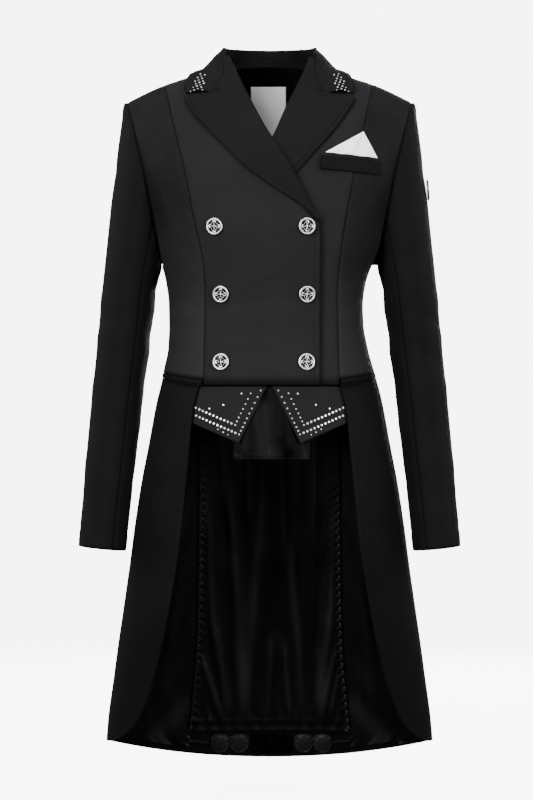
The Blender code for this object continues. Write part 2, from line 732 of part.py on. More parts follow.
def flat_place(a, b, c, d):
    """Places on the front of the body inside four corners: low left, low right, top right, top left."""

    def place(across, up):
        low = (lerp(a.x, b.x, across), lerp(a.z, b.z, across))
        top = (lerp(d.x, c.x, across), lerp(d.z, c.z, across))
        return lerp(low[0], top[0], up), lerp(low[1], top[1], up), False

    return place


def make_waistcoat_points():
    for side, name in ((-1, "right"), (1, "left")):
        corner = {key: PointRow(side * spot.x, spot.z) for key, spot in POINT_CORNERS.items()}
        order = ["tip", "outer_low", "outer_top", "inner_top"]
        if side < 0:
            order = ["outer_low", "tip", "inner_top", "outer_top"]
        place = flat_place(*(corner[key] for key in order))
        laid_patch(f"point_{name}", "cloth", shares(6), shares(4), place, POINT_LIFT, CLOTH)

    def wave(across, up):
        return FLAP_LIFT + 1.6 * math.sin(math.pi * 2 * FLAP_FOLDS * across / 2 + 0.6) * lerp(1, 0.5, up)

    top = POINT_TOP_Z - 1
    place = flat_place(
        PointRow(FLAP_LEFT_X, FLAP_HEM_Z), PointRow(FLAP_RIGHT_X, FLAP_HEM_Z), PointRow(FLAP_RIGHT_X, top),
        PointRow(FLAP_LEFT_X, top),
    )
    laid_patch("inner_flap", "satin", shares(20), shares(4), place, wave, LINING)


# ---- Pocket ----


def make_pocket():
    place = flat_place(WELT["low_left"], WELT["low_right"], WELT["top_right"], WELT["top_left"])
    laid_patch("pocket_welt", "cloth", shares(8), shares(2), place, LAID_GAP + CLOTH, CLOTH)
    tip = SQUARE["apex"]
    near = PointRow(lerp(tip.x, SQUARE["left"].x, 0.03), lerp(tip.z, SQUARE["left"].z, 0.03))

    def ripple(across, up):
        return 1.9 + LINING + 0.6 * math.sin(5.2 * math.pi * across) * (1 - up)

    place = flat_place(SQUARE["left"], SQUARE["right"], tip, near)
    laid_patch("pocket_square", "white_cotton", shares(10), shares(5), place, ripple, LINING)


# ---- Turned pieces ----

BUTTON_PROFILE = [(10.2, 0), (11.7, 1.1), (11.7, 2.5), (10.9, 3.3), (9.8, 3.1), (9.2, 2.2)]
BADGE_PROFILE = [(14.2, 0), (15, 0.8), (14.6, 2.2), (13.4, 2.9)]
POUCH_PROFILE = [(12.4, 0), (13.6, 1.2), (12.6, 2.4)]


def make_disc(name, slot, profile, sides, centre, out):
    """A turned piece that stands on centre and faces out."""
    made = bmesh.new()
    rings = []
    for radius, height in profile:
        angles = [2 * math.pi * k / sides for k in range(sides)]
        rings.append([made.verts.new((radius * math.cos(a), radius * math.sin(a), height)) for a in angles])
    for low, high in zip(rings, rings[1:]):
        for k in range(sides):
            made.faces.new((low[k], low[(k + 1) % sides], high[(k + 1) % sides], high[k]))
    made.faces.new(rings[0][::-1])
    made.faces.new(rings[-1])
    turn = out.to_track_quat("Z", "Y").to_matrix().to_4x4()
    bmesh.ops.transform(made, matrix=Matrix.Translation(centre) @ turn, verts=made.verts)
    return finish(name, slot, made)


def facing(x, z, back=False):
    return (on_body(x, z, back, 1) - on_body(x, z, back, 0)).normalized()


def make_buttons():
    for name, spot in BUTTONS.items():
        centre = on_body(spot.x, spot.z, False, 1.4)
        make_disc(f"button_{name}", "silver", BUTTON_PROFILE, 16, centre, facing(spot.x, spot.z))


def make_badge():
    ring = sleeve_ring(1, 0.47)
    outward = Vector((1, 0, 0.08)).normalized()
    make_disc("arm_badge", "silver", BADGE_PROFILE, 18, ring[0] + outward * 1.2, outward)


def make_label():
    for name, box in (("neck_label", LABEL), ("label_tab", TAB)):

        def place(across, up):
            return lerp(box["left"], box["right"], across), lerp(box["bottom"], box["top"], up), True

        laid_patch(name, "label", shares(4), shares(4), place, -CLOTH - 0.5, 1.0)


def make_tail_hem():
    for name, x in POUCHES.items():
        centre = on_body(x, POUCH_Z, True, -CLOTH - LAID_GAP)
        make_disc(f"hem_weight_{name}", "satin", POUCH_PROFILE, 16, centre, -facing(x, POUCH_Z, True))

    def place(across, up):
        return lerp(PLEATS["left"], PLEATS["right"], across), lerp(PLEATS["bottom"], PLEATS["top"], up), True

    def wave(across, up):
        return -CLOTH - 0.6 - PLEATS["depth"] * (1 - math.cos(2 * math.pi * PLEATS["count"] * across)) / 2

    laid_patch("tail_pleats", "satin", shares(30), shares(2), place, wave, LINING)


def main():
    clear_scene()
    make_bodice()
    make_waist_bands()
    make_lapels()
    make_collar()
    make_sleeves()
    make_skirt()
    make_lining()
    make_waistcoat_points()
    make_pocket()
    make_buttons()
    make_badge()
    make_label()
    make_tail_hem()


main()
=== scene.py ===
import math

import bpy
import numpy as np
from mathutils import Matrix, Vector


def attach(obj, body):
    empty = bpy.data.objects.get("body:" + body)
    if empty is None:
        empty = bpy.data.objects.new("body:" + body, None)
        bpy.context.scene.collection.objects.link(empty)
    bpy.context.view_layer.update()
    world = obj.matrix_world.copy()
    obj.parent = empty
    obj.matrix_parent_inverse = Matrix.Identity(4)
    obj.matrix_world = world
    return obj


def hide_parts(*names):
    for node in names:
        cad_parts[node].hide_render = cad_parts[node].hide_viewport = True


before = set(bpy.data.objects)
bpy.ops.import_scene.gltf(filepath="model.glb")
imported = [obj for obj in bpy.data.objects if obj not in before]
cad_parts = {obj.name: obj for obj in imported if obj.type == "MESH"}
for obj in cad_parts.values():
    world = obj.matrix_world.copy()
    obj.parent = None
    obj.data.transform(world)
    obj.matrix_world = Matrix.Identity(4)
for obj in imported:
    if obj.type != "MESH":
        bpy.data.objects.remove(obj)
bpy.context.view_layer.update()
mm = 0.001  # every size below is in millimetres, in the frame's own axes
print("frame loaded")

# The body's form. Each height has its half-width, its depth in front and behind, and the middle's lean.
bodyForm = {
    20: (250, 30, 62, 0), 0: (245, 42, 73, 0), -24: (240, 55, 83, 0), -60: (228, 77, 93, 0),
    -100: (215, 97, 100, 0), -138: (203, 112, 105, 0), -180: (188, 122, 108, 0), -230: (169, 127, 107, 0),
    -262: (158, 125, 103, -1), -298: (145, 119, 95, -4), -326: (138, 113, 86, -5), -354: (135.8, 109, 80, -5),
    -382: (136.5, 107, 80, -4), -410: (140, 107, 86, -2), -438: (147, 109, 94, -1), -458: (151.5, 111, 99, 0),
    -480: (157, 112, 104, 0), -536: (167, 113, 113, 0), -592: (178, 113, 121, 0), -648: (187, 112, 128, 0),
    -704: (195, 111, 134, 0), -760: (203, 109, 139, 0), -816: (211, 107, 143, 0), -872: (218.5, 104, 147, 0),
    -928: (226, 101, 150, 0), -1000: (231, 98, 153, 0),
}
roundness = 2.3  # exponent of the form's rounded-square section
shoulderLine = [(0, 95), (40, 60), (58, 30), (78, -14), (111, -27.5), (153, -42), (199, -64), (230, -80)]
shoulderRadius = 70
shoulderPointZ = -64
armpitZ = -290

cloth = {  # a sheet's cut is a little over what shows
    "thick": 1.6, "seamGap": -0.24, "lining": 1.2, "collar": 2.2, "laidGap": 1.0, "shadow": 1.1,
    "cut": 1.02, "leastSide": 10.1, "leastFill": 0.31,
}


def mix(a, b, share):
    return a + (b - a) * share


def ease(share):
    share = np.clip(share, 0, 1)
    return share * share * (3 - 2 * share)


def bell(far, wide):  # 1 where far is nought, falling away smoothly within wide
    return np.exp(-((far / wide) ** 2))


def ridged(far, ridges):  # soft ridges along a distance: each has its height, its place and its half-width
    return sum(high * bell(far - at, wide) for high, at, wide in ridges)


def between(start, leave, end, arrive, t):  # a cubic curve from start to end, with its slope at each
    return (
        start * (2 * t**3 - 3 * t**2 + 1) + leave * (t**3 - 2 * t**2 + t)
        + end * (3 * t**2 - 2 * t**3) + arrive * (t**3 - t**2)
    )


def throughKnots(knots, at):  # a smooth curve through (key, value) knots, read at one place or many
    keys, values = np.array(sorted(knots), float).T
    at = np.clip(at, keys[0], keys[-1])
    i = np.clip(np.searchsorted(keys, at, side="right") - 1, 0, len(keys) - 2)
    before, after = np.r_[0, 0:len(keys) - 1], np.r_[1:len(keys), len(keys) - 1]
    slopes = (values[after] - values[before]) / (keys[after] - keys[before])
    span = keys[i + 1] - keys[i]
    t = (at - keys[i]) / span
    return between(values[i], slopes[i] * span, values[i + 1], slopes[i + 1] * span, t)


formKnots = [[(z, row[k]) for z, row in bodyForm.items()] for k in range(4)]


def shoulderZ(x):
    return throughKnots(shoulderLine, np.abs(x))


def formDepth(x, z, back):  # how far the form stands in front of or behind the side seams
    across = np.minimum(np.abs(x - throughKnots(formKnots[3], z)) / throughKnots(formKnots[0], z), 1)
    below = np.where(np.asarray(z) > -300, np.clip((shoulderZ(x) - z) / shoulderRadius, 0, 1), 1)
    full = np.where(back, throughKnots(formKnots[2], z), throughKnots(formKnots[1], z))
    return full * (1 - across**roundness) ** (1 / roundness) * np.sqrt(below * (2 - below))


def onForm(x, z, back=False, lift=0.0):  # points of the form, moved out by lift
    x, z, lift = [np.asarray(value, float) for value in (x, z, lift)]
    x, z, back, lift = np.broadcast_arrays(x, z, back, lift)
    step = 0.05
    y = formDepth(x, z, back)
    slopeX = (formDepth(x + step, z, back) ** 2 - formDepth(x - step, z, back) ** 2) / (2 * step)
    slopeZ = (formDepth(x, z + step, back) ** 2 - formDepth(x, z - step, back) ** 2) / (2 * step)
    sign = np.where(back, 1.0, -1.0)
    out = np.stack([-slopeX, sign * 2 * y, -slopeZ], -1)
    out /= np.maximum(np.linalg.norm(out, axis=-1, keepdims=True), 1e-9)
    return np.stack([x, sign * y, z], -1) + out * lift[..., None]


def turnOf(x, z, back=False):  # degrees round the body from the middle of the front
    share = np.clip((x - throughKnots(formKnots[3], z)) / throughKnots(formKnots[0], z), -1, 1)
    angle = np.degrees(np.arcsin(np.abs(share) ** (roundness / 2)))
    return np.copysign(np.where(back, 180 - angle, angle), share)


def turnX(turn, z):
    share = np.abs(np.sin(np.radians(turn))) ** (2 / roundness)
    return np.copysign(share, turn) * throughKnots(formKnots[0], z) * 0.999999 + throughKnots(formKnots[3], z)


def atTurn(turn, z, lift=0.0):
    turn = np.where(turn > 180, turn - 360, turn)
    return onForm(turnX(turn, z), z, np.abs(turn) > 90, lift)


def meshAt(columns, rows):  # shares across and up for a grid of that many squares
    return np.meshgrid(np.linspace(0, 1, columns + 1), np.linspace(0, 1, rows + 1))


def boxMesh(box, columns, rows):  # such a grid's shares, and its places within an upright box
    u, v = meshAt(columns, rows)
    return u, v, mix(box["left"], box["right"], u), mix(box["bottom"], box["top"], v)


def crowded(share, edge, part):  # draws columns closer together at both ends: part of them within edge
    return np.interp(share, [0, part, 1 - part, 1], [0, edge, 1 - edge, 1])


def reach(points, axis):  # how far each point lies along the cloth, in millimetres
    steps = np.linalg.norm(np.diff(points, axis=axis), axis=-1)
    return np.insert(np.cumsum(steps, axis=axis), 0, 0, axis=axis)


def fromSides(far):  # how far each point lies from the nearer of its row's two ends
    return np.minimum(far, far[:, -1:] - far)


def troughs(a, b, lines, units=(1, 1)):  # soft creases: each has its two ends, its half-width and its height
    total = np.zeros(np.broadcast(a, b).shape)
    a, b = a / units[0], b / units[1]
    for *ends, wide, high in lines:
        startA, startB, endA, endB = [end / unit for end, unit in zip(ends, units * 2)]
        spanA, spanB = endA - startA, endB - startB
        along = ((a - startA) * spanA + (b - startB) * spanB) / (spanA**2 + spanB**2)
        off = ((a - startA) * spanB - (b - startB) * spanA) / math.hypot(spanA, spanB)
        fade = bell(np.clip(np.abs(along - 0.5) - 0.3, 0, None), 0.2)
        total += high * bell(off, wide) * fade
    return total


def unit(vector):
    return vector / np.linalg.norm(vector, axis=-1, keepdims=True)


def outward(side, across):  # a share counted from the front, whichever way the columns run
    return across if side > 0 else 1 - across


def normalsOf(points):  # outward where columns run to the right and rows run up
    up = np.gradient(points, axis=0)
    across = np.gradient(points, axis=1)
    out = np.cross(across, up)
    return out / np.maximum(np.linalg.norm(out, axis=-1, keepdims=True), 1e-9)


def alongNet(net, at, corners=()):  # a finer net through the rows of a coarse one, sharp at its corners
    net = np.asarray(net, float)
    ends = [0, *corners, len(net) - 1]
    made = np.empty((len(at), *net.shape[1:]))
    for low, high in zip(ends, ends[1:]):
        inside = np.nonzero((at >= low) & (at <= high))[0]
        part = net[low:high + 1]
        slopes = np.gradient(part, axis=0)
        i = np.clip((at[inside] - low).astype(int), 0, high - low - 1)
        t = (at[inside] - low - i).reshape(-1, *[1] * (net.ndim - 1))
        made[inside] = between(part[i], slopes[i], part[i + 1], slopes[i + 1], t)
    return made


# Blender steps that every piece shares


def added(add, **settings):  # a new mesh, made with nothing else selected
    bpy.ops.object.select_all(action="DESELECT")
    add(**settings)
    return bpy.context.object


def only(thing):
    bpy.ops.object.select_all(action="DESELECT")
    thing.select_set(True)
    bpy.context.view_layer.objects.active = thing


def applyModifier(thing, kind, **settings):
    only(thing)
    modifier = thing.modifiers.new(kind.title(), kind)
    for name, value in settings.items():
        setattr(modifier, name, value)
    bpy.ops.object.modifier_apply(modifier=modifier.name)


def smoothed(thing, degrees):
    only(thing)
    bpy.ops.object.shade_smooth_by_angle(angle=math.radians(degrees))


def keep(thing, name, materials, nodes=()):  # names a finished piece and gives it to the coat
    thing.name = thing.data.name = name
    for finish in materials:
        thing.data.materials.append(finish)
    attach(thing, "root")
    if nodes:
        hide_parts(*nodes)


def layCloth(
    name, points, materials, held, restsOn, slot="cloth", thick=cloth["thick"], round=0.45, paintedSheen=None,
    solid=True,
):  # a fine grid is laid over the points, given its thickness inwards and its edges rounded
    rows, columns = points.shape[0] - 1, points.shape[1] - 1
    thing = added(bpy.ops.mesh.primitive_grid_add, x_subdivisions=columns, y_subdivisions=rows, size=2)
    mesh = thing.data
    flat = np.empty(len(mesh.vertices) * 3)
    mesh.vertices.foreach_get("co", flat)
    flat = flat.reshape(-1, 3)
    column = np.rint((flat[:, 0] + 1) / 2 * columns).astype(int)
    row = np.rint((flat[:, 1] + 1) / 2 * rows).astype(int)
    mesh.vertices.foreach_set("co", (points[row, column] * mm).ravel())
    across, up = reach(points, 1) * mm, reach(points, 0) * mm  # the weave's own coordinates, in metres
    corner = np.empty(len(mesh.loops), int)
    mesh.loops.foreach_get("vertex_index", corner)
    places = np.stack([across[row[corner], column[corner]], up[row[corner], column[corner]]], -1)
    mesh.uv_layers[0].data.foreach_set("uv", places.ravel())
    rim = np.minimum(fromSides(across), fromSides(up.T).T) / mm
    # painted shade: the colour is darkened along every edge of the cloth, as if a seam's edge lay in shadow
    shade = mesh.attributes.new("edge", "FLOAT", "POINT")  # a seam's edge lies in its own shadow
    shade.data.foreach_set("value", bell(rim[row, column], cloth["shadow"]).ravel())
    if paintedSheen is not None:  # painted highlight: how light each spot is painted, mostly on the crests of folds, for the finish
        wearAndPaintedSheen = mesh.attributes.new("fold", "FLOAT", "POINT")
        wearAndPaintedSheen.data.foreach_set("value", paintedSheen[row, column].ravel())
    for finish in materials:
        mesh.materials.append(finish)
    inner = 1 if len(materials) > 1 else 0
    applyModifier(thing, "SOLIDIFY", thickness=thick * mm, offset=-1, material_offset=inner)
    if round:
        sharp = {"limit_method": "ANGLE", "angle_limit": math.radians(60)}
        applyModifier(thing, "BEVEL", width=round * mm, segments=2, **sharp)
    smoothed(thing, 50)
    keep(thing, f"{name}_shell", [], [name] if solid else [])
    size = tuple(max(far.max() * cloth["cut"], cloth["leastSide"] * mm) for far in (across, up))
    sides = points[:-1, 1:] - points[:-1, :-1], points[1:, :-1] - points[:-1, :-1]
    area = np.linalg.norm(np.cross(*sides), axis=-1).sum() * mm * mm
    area = min(max(area, cloth["leastFill"] * size[0] * size[1]), size[0] * size[1])


def scatter(name, template, spots, materials, degrees=35):
    # copies one small modelled piece to each spot: its centre, the way it faces, its own x and its size
    only(template)
    shape = np.array([v.co for v in template.data.vertices])
    loops = [list(p.vertices) for p in template.data.polygons]
    kinds = [p.material_index for p in template.data.polygons]
    vertices, faces, finishes = [], [], []
    for k, (centre, out, along, size) in enumerate(spots):
        out = unit(np.asarray(out))
        along = unit(np.asarray(along) - out * np.dot(along, out))
        turned = shape @ np.stack([along, np.cross(out, along), out]) * size
        vertices.append(turned * mm + np.asarray(centre) * mm)
        faces += [[i + k * len(shape) for i in loop] for loop in loops]
        finishes += kinds
    bpy.data.objects.remove(template)
    mesh = bpy.data.meshes.new(name)
    mesh.from_pydata(np.concatenate(vertices).tolist(), [], faces)
    thing = bpy.data.objects.new(name, mesh)
    bpy.context.scene.collection.objects.link(thing)
    smoothed(thing, degrees)
    keep(thing, name, materials)
    mesh.polygons.foreach_set("material_index", finishes)
    return thing


def stitchShape():  # one stitch, a millimetre long before it is sized
    thing = added(bpy.ops.mesh.primitive_uv_sphere_add, segments=6, ring_count=4, radius=0.5)
    bpy.ops.object.mode_set(mode="EDIT")
    bpy.ops.transform.rotate(value=math.pi / 2, orient_axis="Y", center_override=(0, 0, 0))
    bpy.ops.transform.resize(value=(1, 0.16, 0.13))
    bpy.ops.object.mode_set(mode="OBJECT")
    return thing


stitching = []  # every seam's stitches, to be made in one piece


def sew(path, outs, length=2.7, pitch=3.5, lift=0.07):  # stitches that follow a line on the cloth
    path, outs = np.asarray(path, float), np.asarray(outs, float)
    far = np.r_[0, np.cumsum(np.linalg.norm(np.diff(path, axis=0), axis=1))]
    at = np.arange(pitch / 2, far[-1] - pitch / 3, pitch)

    def along(values, at):
        return np.stack([np.interp(at, far, values[:, k]) for k in range(3)], -1)

    spots = zip(along(path, at), along(outs, at), along(path, at + 0.4) - along(path, at - 0.4))
    stitching.extend((centre + out * lift, out, ahead, length) for centre, out, ahead in spots)


def rowAt(points, far, wanted):  # the line that lies a wanted distance up every column
    line = []
    for j in range(points.shape[1]):
        i = np.interp(wanted, far[:, j], range(points.shape[0]))
        k = int(min(i, points.shape[0] - 2))
        line.append(mix(points[k, j], points[k + 1, j], i - k))
    return np.array(line)


def sewRow(points, out, far, wanted, ends, length=2.7, pitch=3.5):  # stitches along such a line
    inside = slice(ends, -ends)
    sew(rowAt(points, far, wanted)[inside], rowAt(out, far, wanted)[inside], length, pitch)


# Finishes


class Wire:  # a socket's value, so that shader maths is written as an expression
    def __init__(self, finish, socket):
        self.finish, self.socket = finish, socket

    def maths(self, kind, *values):
        return self.finish.node("ShaderNodeMath", {"operation": kind}, dict(enumerate(values)))

    def __add__(self, other): return self.maths("ADD", self, other)
    def __radd__(self, other): return self.maths("ADD", other, self)
    def __sub__(self, other): return self.maths("SUBTRACT", self, other)
    def __mul__(self, other): return self.maths("MULTIPLY", self, other)
    def sine(self): return self.maths("SINE", self)


class Finish:  # one material and the nodes that make it
    def __init__(self, name, **constants):
        self.material = bpy.data.materials.new(name)
        self.material.use_nodes = True
        self.tree = self.material.node_tree
        self.shader = self.tree.nodes["Principled BSDF"]
        for socket, value in constants.items():
            self.shader.inputs[socket.replace("_", " ")].default_value = value

    def node(self, kind, settings=None, inputs=None, output=0):
        made = self.tree.nodes.new(kind)
        for name, value in (settings or {}).items():
            setattr(made, name, value)
        for name, value in (inputs or {}).items():
            self.join(value, made.inputs[name])
        return Wire(self, made.outputs[output])

    def join(self, value, socket):
        if isinstance(value, Wire):
            self.tree.links.new(value.socket, socket)
        else:
            socket.default_value = value

    def feed(self, **inputs):
        for name, value in inputs.items():
            self.join(value, self.shader.inputs[name.replace("_", " ")])

    def place(self):  # the piece's own place in space, in metres
        return self.node("ShaderNodeTexCoord", output="Object")

    def onCloth(self):
        return self.node("ShaderNodeUVMap", {"uv_map": "UVMap"})

    def weaveAt(self):  # across and along the cloth, in metres
        split = self.node("ShaderNodeSeparateXYZ", inputs={0: self.onCloth()})
        return split, Wire(self, split.socket.node.outputs[1])

    def noise(self, scale, detail=2.0, at=None, stretch=None):
        at = at or self.place()
        if stretch:
            at = self.node("ShaderNodeMapping", inputs={"Vector": at, "Scale": stretch})
        inputs = {"Vector": at, "Scale": scale, "Detail": detail}
        return self.node("ShaderNodeTexNoise", inputs=inputs, output="Fac")

    def blendColours(self, share, low, high):
        return self.node("ShaderNodeMix", {"data_type": "RGBA"}, {0: share, 6: (*low, 1), 7: (*high, 1)}, 2)

    def bump(self, height, strength, distance):
        inputs = {"Height": height, "Strength": strength, "Distance": distance}
        return self.node("ShaderNodeBump", inputs=inputs)


def clothFinish(name, dark, light, pitch, rib, roughness, sheen, fuzz=0.35, fade=None):
    # a plain black cloth: fine twill ribs, a little nap and a slow change of tone
    finish = Finish(name, Sheen_Weight=sheen, Sheen_Roughness=0.45, Specular_IOR_Level=0.035)
    finish.shader.inputs["Sheen Tint"].default_value = (0.75, 0.78, 0.85, 1)
    across, along = finish.weaveAt()
    wave = 2 * math.pi / (pitch * mm)
    warp = ((across + along * 0.5) * wave).sine()
    weft = ((along - across * 0.3) * wave * 0.9).sine()
    grain = finish.noise(1400, 3)
    nap = finish.noise(260, 4)
    slow = finish.noise(14, 2)
    threads = warp * 0.5 * rib + weft * 0.35 * rib + grain * fuzz
    tone = (threads * 0.3 + nap * 0.4 + slow * 0.5) - 0.05
    # painted light and shade: the tone is made lighter or darker down the piece, standing in for how the
    # lamps fall on it
    if fade:  # the tone changes down the piece: from one height to another, by so much
        height = finish.node("ShaderNodeSeparateXYZ", inputs={0: finish.place()}, output=2)
        start, end, change = fade
        inputs = {0: height, 1: start, 2: end, 3: 0.0, 4: change}
        tone = tone + finish.node("ShaderNodeMapRange", inputs=inputs)
    # painted shade: the colour is drawn towards black along a seam's edge
    edge = finish.node("ShaderNodeAttribute", {"attribute_name": "edge"}, output="Fac")
    cloth = finish.blendColours(tone, dark, light)
    shadow = {0: edge * 0.85, 6: cloth, 7: (0.0003, 0.0003, 0.0003, 1)}
    finish.feed(
        Base_Color=finish.node("ShaderNodeMix", {"data_type": "RGBA"}, shadow, 2),
        Roughness=roughness + nap * 0.12 - 0.06,
        Normal=finish.bump(threads + nap * 0.4, 0.5, 0.00022),
    )
    return finish.material


def satinFinish(name, dark, light, roughness, streak, specular, folded=False):
    # smooth black satin: threads run down the cloth and catch the light in long soft streaks
    finish = Finish(name, Specular_IOR_Level=specular, Anisotropic=0.35)
    across, along = finish.weaveAt()
    thread = (across * (2 * math.pi / 0.0006)).sine()
    long = finish.noise(1.0, 3, finish.onCloth(), (420, 26, 1))
    crumple = finish.noise(1.0, 4, finish.onCloth(), (42, 16, 1))
    tone = long * 0.5 + crumple * 0.3
    if folded:  # painted highlight: the crests of the folds are painted lighter, as if they catch the light
        crest = finish.node("ShaderNodeAttribute", {"attribute_name": "fold"}, output="Fac")
        tone = crest * 0.9 + crest * long * 0.25 + long * 0.05
    finish.feed(
        Base_Color=finish.blendColours(tone, dark, light),
        Roughness=roughness + long * 0.1 + crumple * 0.1 - 0.1,
        Normal=finish.bump(thread * 0.08 + long * streak + crumple * 1.6, 0.45, 0.0008),
    )
    return finish.material


def metalFinish(name, dark, light, roughness, wearAndPaintedSheen, metallic=1.0, specular=0.5):
    finish = Finish(name, Metallic=metallic, Specular_IOR_Level=specular)
    rub = finish.noise(160, 4)
    scratch = finish.noise(900, 2, stretch=(1, 1, 6))
    finish.feed(
        Base_Color=finish.blendColours(rub, dark, light),
        Roughness=roughness + scratch * wearAndPaintedSheen + rub * wearAndPaintedSheen * 0.5 - wearAndPaintedSheen * 0.5,
        Normal=finish.bump(scratch + rub * 0.5, 0.12, 0.0001),
    )
    return finish.material


cloths = {  # darkest and lightest colour, pitch of the weave, its ribs, roughness, nap, grain, painted fade of light and shade
    "coat": ((0.0024, 0.0024, 0.0025), (0.0068, 0.0069, 0.0072), 0.7, 0.8, 0.74, 0.008),
    "lapel": ((0.0036, 0.0036, 0.0038), (0.0096, 0.0098, 0.0102), 0.7, 0.8, 0.74, 0.01),
    # painted light and shade: the side panels' cloth is a copy of the coat's, darker at the chest and lighter
    # at the waist, as side lamps would light it
    "side": (
        (0.0006, 0.0006, 0.0007), (0.0150, 0.0152, 0.0157), 0.7, 0.4, 0.74, 0.01, 0.35, (-0.22, -0.37, 0.6),
    ),
    "skirt": (
        (0.0022, 0.0022, 0.0023), (0.0086, 0.0088, 0.0092), 0.7, 0.8, 0.74, 0.01, 0.35, (-0.5, -0.95, -0.6),
    ),
    "front": (
        (0.0016, 0.0017, 0.0019), (0.0114, 0.0116, 0.0121), 1.15, 0.6, 0.76, 0.03, 2.6, (-0.12, -0.4, 0.2),
    ),
    "point": ((0.0056, 0.0057, 0.0059), (0.0160, 0.0162, 0.0167), 0.8, 0.9, 0.72, 0.04),
}
satins = {  # darkest and lightest colour, roughness, streaks, specular, and whether its folds get painted highlights
    "lining": ((0.0003, 0.0003, 0.0004), (0.0012, 0.0013, 0.0013), 0.34, 0.06, 0.1),
    "folded": ((0.0002, 0.0003, 0.0003), (0.0085, 0.0088, 0.0090), 0.36, 0.06, 0.1, True),
    "flap": ((0.0003, 0.0003, 0.0004), (0.0066, 0.0066, 0.0070), 0.30, 0.08, 0.03, True),
    "pouch": ((0.0030, 0.0030, 0.0032), (0.0080, 0.0080, 0.0084), 0.4, 0.1, 0.1),
}
metals = {  # darkest and lightest colour, roughness, wear, metallic, specular
    "buttonSilver": ((0.36, 0.36, 0.37), (0.66, 0.66, 0.67), 0.36, 0.16),
    "buttonRecess": ((0.002, 0.002, 0.002), (0.006, 0.006, 0.006), 0.6, 0.1, 0.0, 0.04),
    "badgeSilver": ((0.30, 0.30, 0.31), (0.5, 0.5, 0.51), 0.28, 0.2),
}
cloths = {name: clothFinish(f"{name}Cloth", *values) for name, values in cloths.items()}
satins = {name: satinFinish(f"{name}Satin", *values) for name, values in satins.items()}
metals = {name: metalFinish(name, *values) for name, values in metals.items()}


def threadFinish(name, dark, light, roughness):
    finish = Finish(name, Sheen_Weight=0.02, Specular_IOR_Level=0.1)
    twist = finish.noise(2600, 2)
    finish.feed(
        Base_Color=finish.blendColours(twist, dark, light), Roughness=roughness + twist * 0.1,
        Normal=finish.bump(twist, 0.4, 0.0001),
    )
    return finish.material


blackThread = threadFinish("blackThread", (0.0006, 0.0006, 0.0007), (0.0026, 0.0026, 0.0028), 0.7)


def cottonFinish():
    finish = Finish("whiteCotton", Sheen_Weight=0.2, Sheen_Roughness=0.5)
    across, along = finish.weaveAt()
    wave = 2 * math.pi / 0.0006
    threads = (across * wave).sine() * 0.5 + (along * wave).sine() * 0.5
    soft = finish.noise(60, 3)
    finish.feed(
        Base_Color=finish.blendColours(soft * 0.7 + threads * 0.1, (0.93, 0.935, 0.95), (0.99, 0.99, 1.0)),
        Roughness=0.75 + soft * 0.1,
        Normal=finish.bump(threads + soft * 2, 0.3, 0.0002),
    )
    return finish.material


def labelFinish():  # ribbed ribbon without words
    finish = Finish("labelRibbon", Specular_IOR_Level=0.6)
    across, along = finish.weaveAt()
    rib = (along * (2 * math.pi / 0.0009)).sine()
    thread = finish.noise(1.0, 2, finish.onCloth(), (300, 1500, 1))
    tone = thread * 0.6 + rib * 0.2 + 0.2
    finish.feed(
        Base_Color=finish.blendColours(tone, (0.68, 0.68, 0.70), (0.94, 0.94, 0.96)),
        Roughness=0.42 + thread * 0.2, Metallic=0.25 + thread * 0.2,
        Normal=finish.bump(rib + thread, 0.4, 0.0002),
    )
    return finish.material


def crystalFinish():
    finish = Finish("clearStone", Metallic=0.35, Coat_Weight=1.0, Coat_Roughness=0.03, Specular_IOR_Level=0.9)
    facet = finish.noise(700, 1)
    finish.feed(
        Base_Color=finish.blendColours(facet, (0.62, 0.63, 0.66), (0.98, 0.95, 0.90)),
        Roughness=0.06 + facet * 0.1,
    )
    return finish.material


whiteCotton = cottonFinish()
labelRibbon = labelFinish()
clearStone = crystalFinish()
print("finishes made")


# Bodice

princessRight = [
    (-459, 91), (-380, 89.5), (-322, 89), (-281, 93), (-226, 105), (-170, 115.5), (-102, 132), (-36, 147),
]
princessLeft = [
    (-459, 96), (-380, 94.5), (-322, 94), (-281, 97.5), (-226, 105.5), (-170, 116), (-102, 130), (-36, 144),
]
armholeFront = [(-290, 149), (-278, 151.5), (-230, 161), (-180, 170), (-138, 180), (-99, 189.5), (-64, 199)]
armholeBack = [(-290, 149), (-275, 153), (-230, 164), (-180, 175), (-138, 184), (-99, 191), (-64, 199)]
rollRight = [
    (-460, 69), (-300, 69), (-237, 67.5), (-218, 54.5), (-170, 30), (-125, 2), (-111, -7), (-74, -27),
    (-27, -49.5), (-3, -60),
]
rollLeft = [
    (-460, -60), (-300, -60), (-237, -58), (-218, -50), (-170, -27), (-128, 1), (-112, 10.5), (-83, 23),
    (-27, 50), (-3, 60),
]
# the cloth goes on a little past the roll line at the neck
edgeRight = rollRight[:6] + [(-111, -8), (-74, -31), (-40, -54), (-14, -79)]
edgeLeft = rollLeft[:6] + [(-112, 12), (-74, 31), (-40, 54), (-14, 79)]
bandTopLine = [(0, -452), (91, -451), (125, -447), (152, -441)]
neckSeam = [(0, 0), (50, -4), (78, -14), (90, -18)]
waist = {
    "bodyHem": -459, "frontBand": -451, "backSide": -441, "backMiddle": -449, "bandHeight": 7, "bandGap": 0.9,
}
underlapDepth = 7.5
bodice = {
    "columns": 46, "rows": 104, "seamWide": 3.2, "seamDeep": 0.75,
    "rowShares": [0, 0.1, 0.2, 0.3, 0.4, 0.5, 0.6, 0.7, 0.78, 0.85, 0.9, 0.94, 0.968, 0.988, 0.997, 1],
}


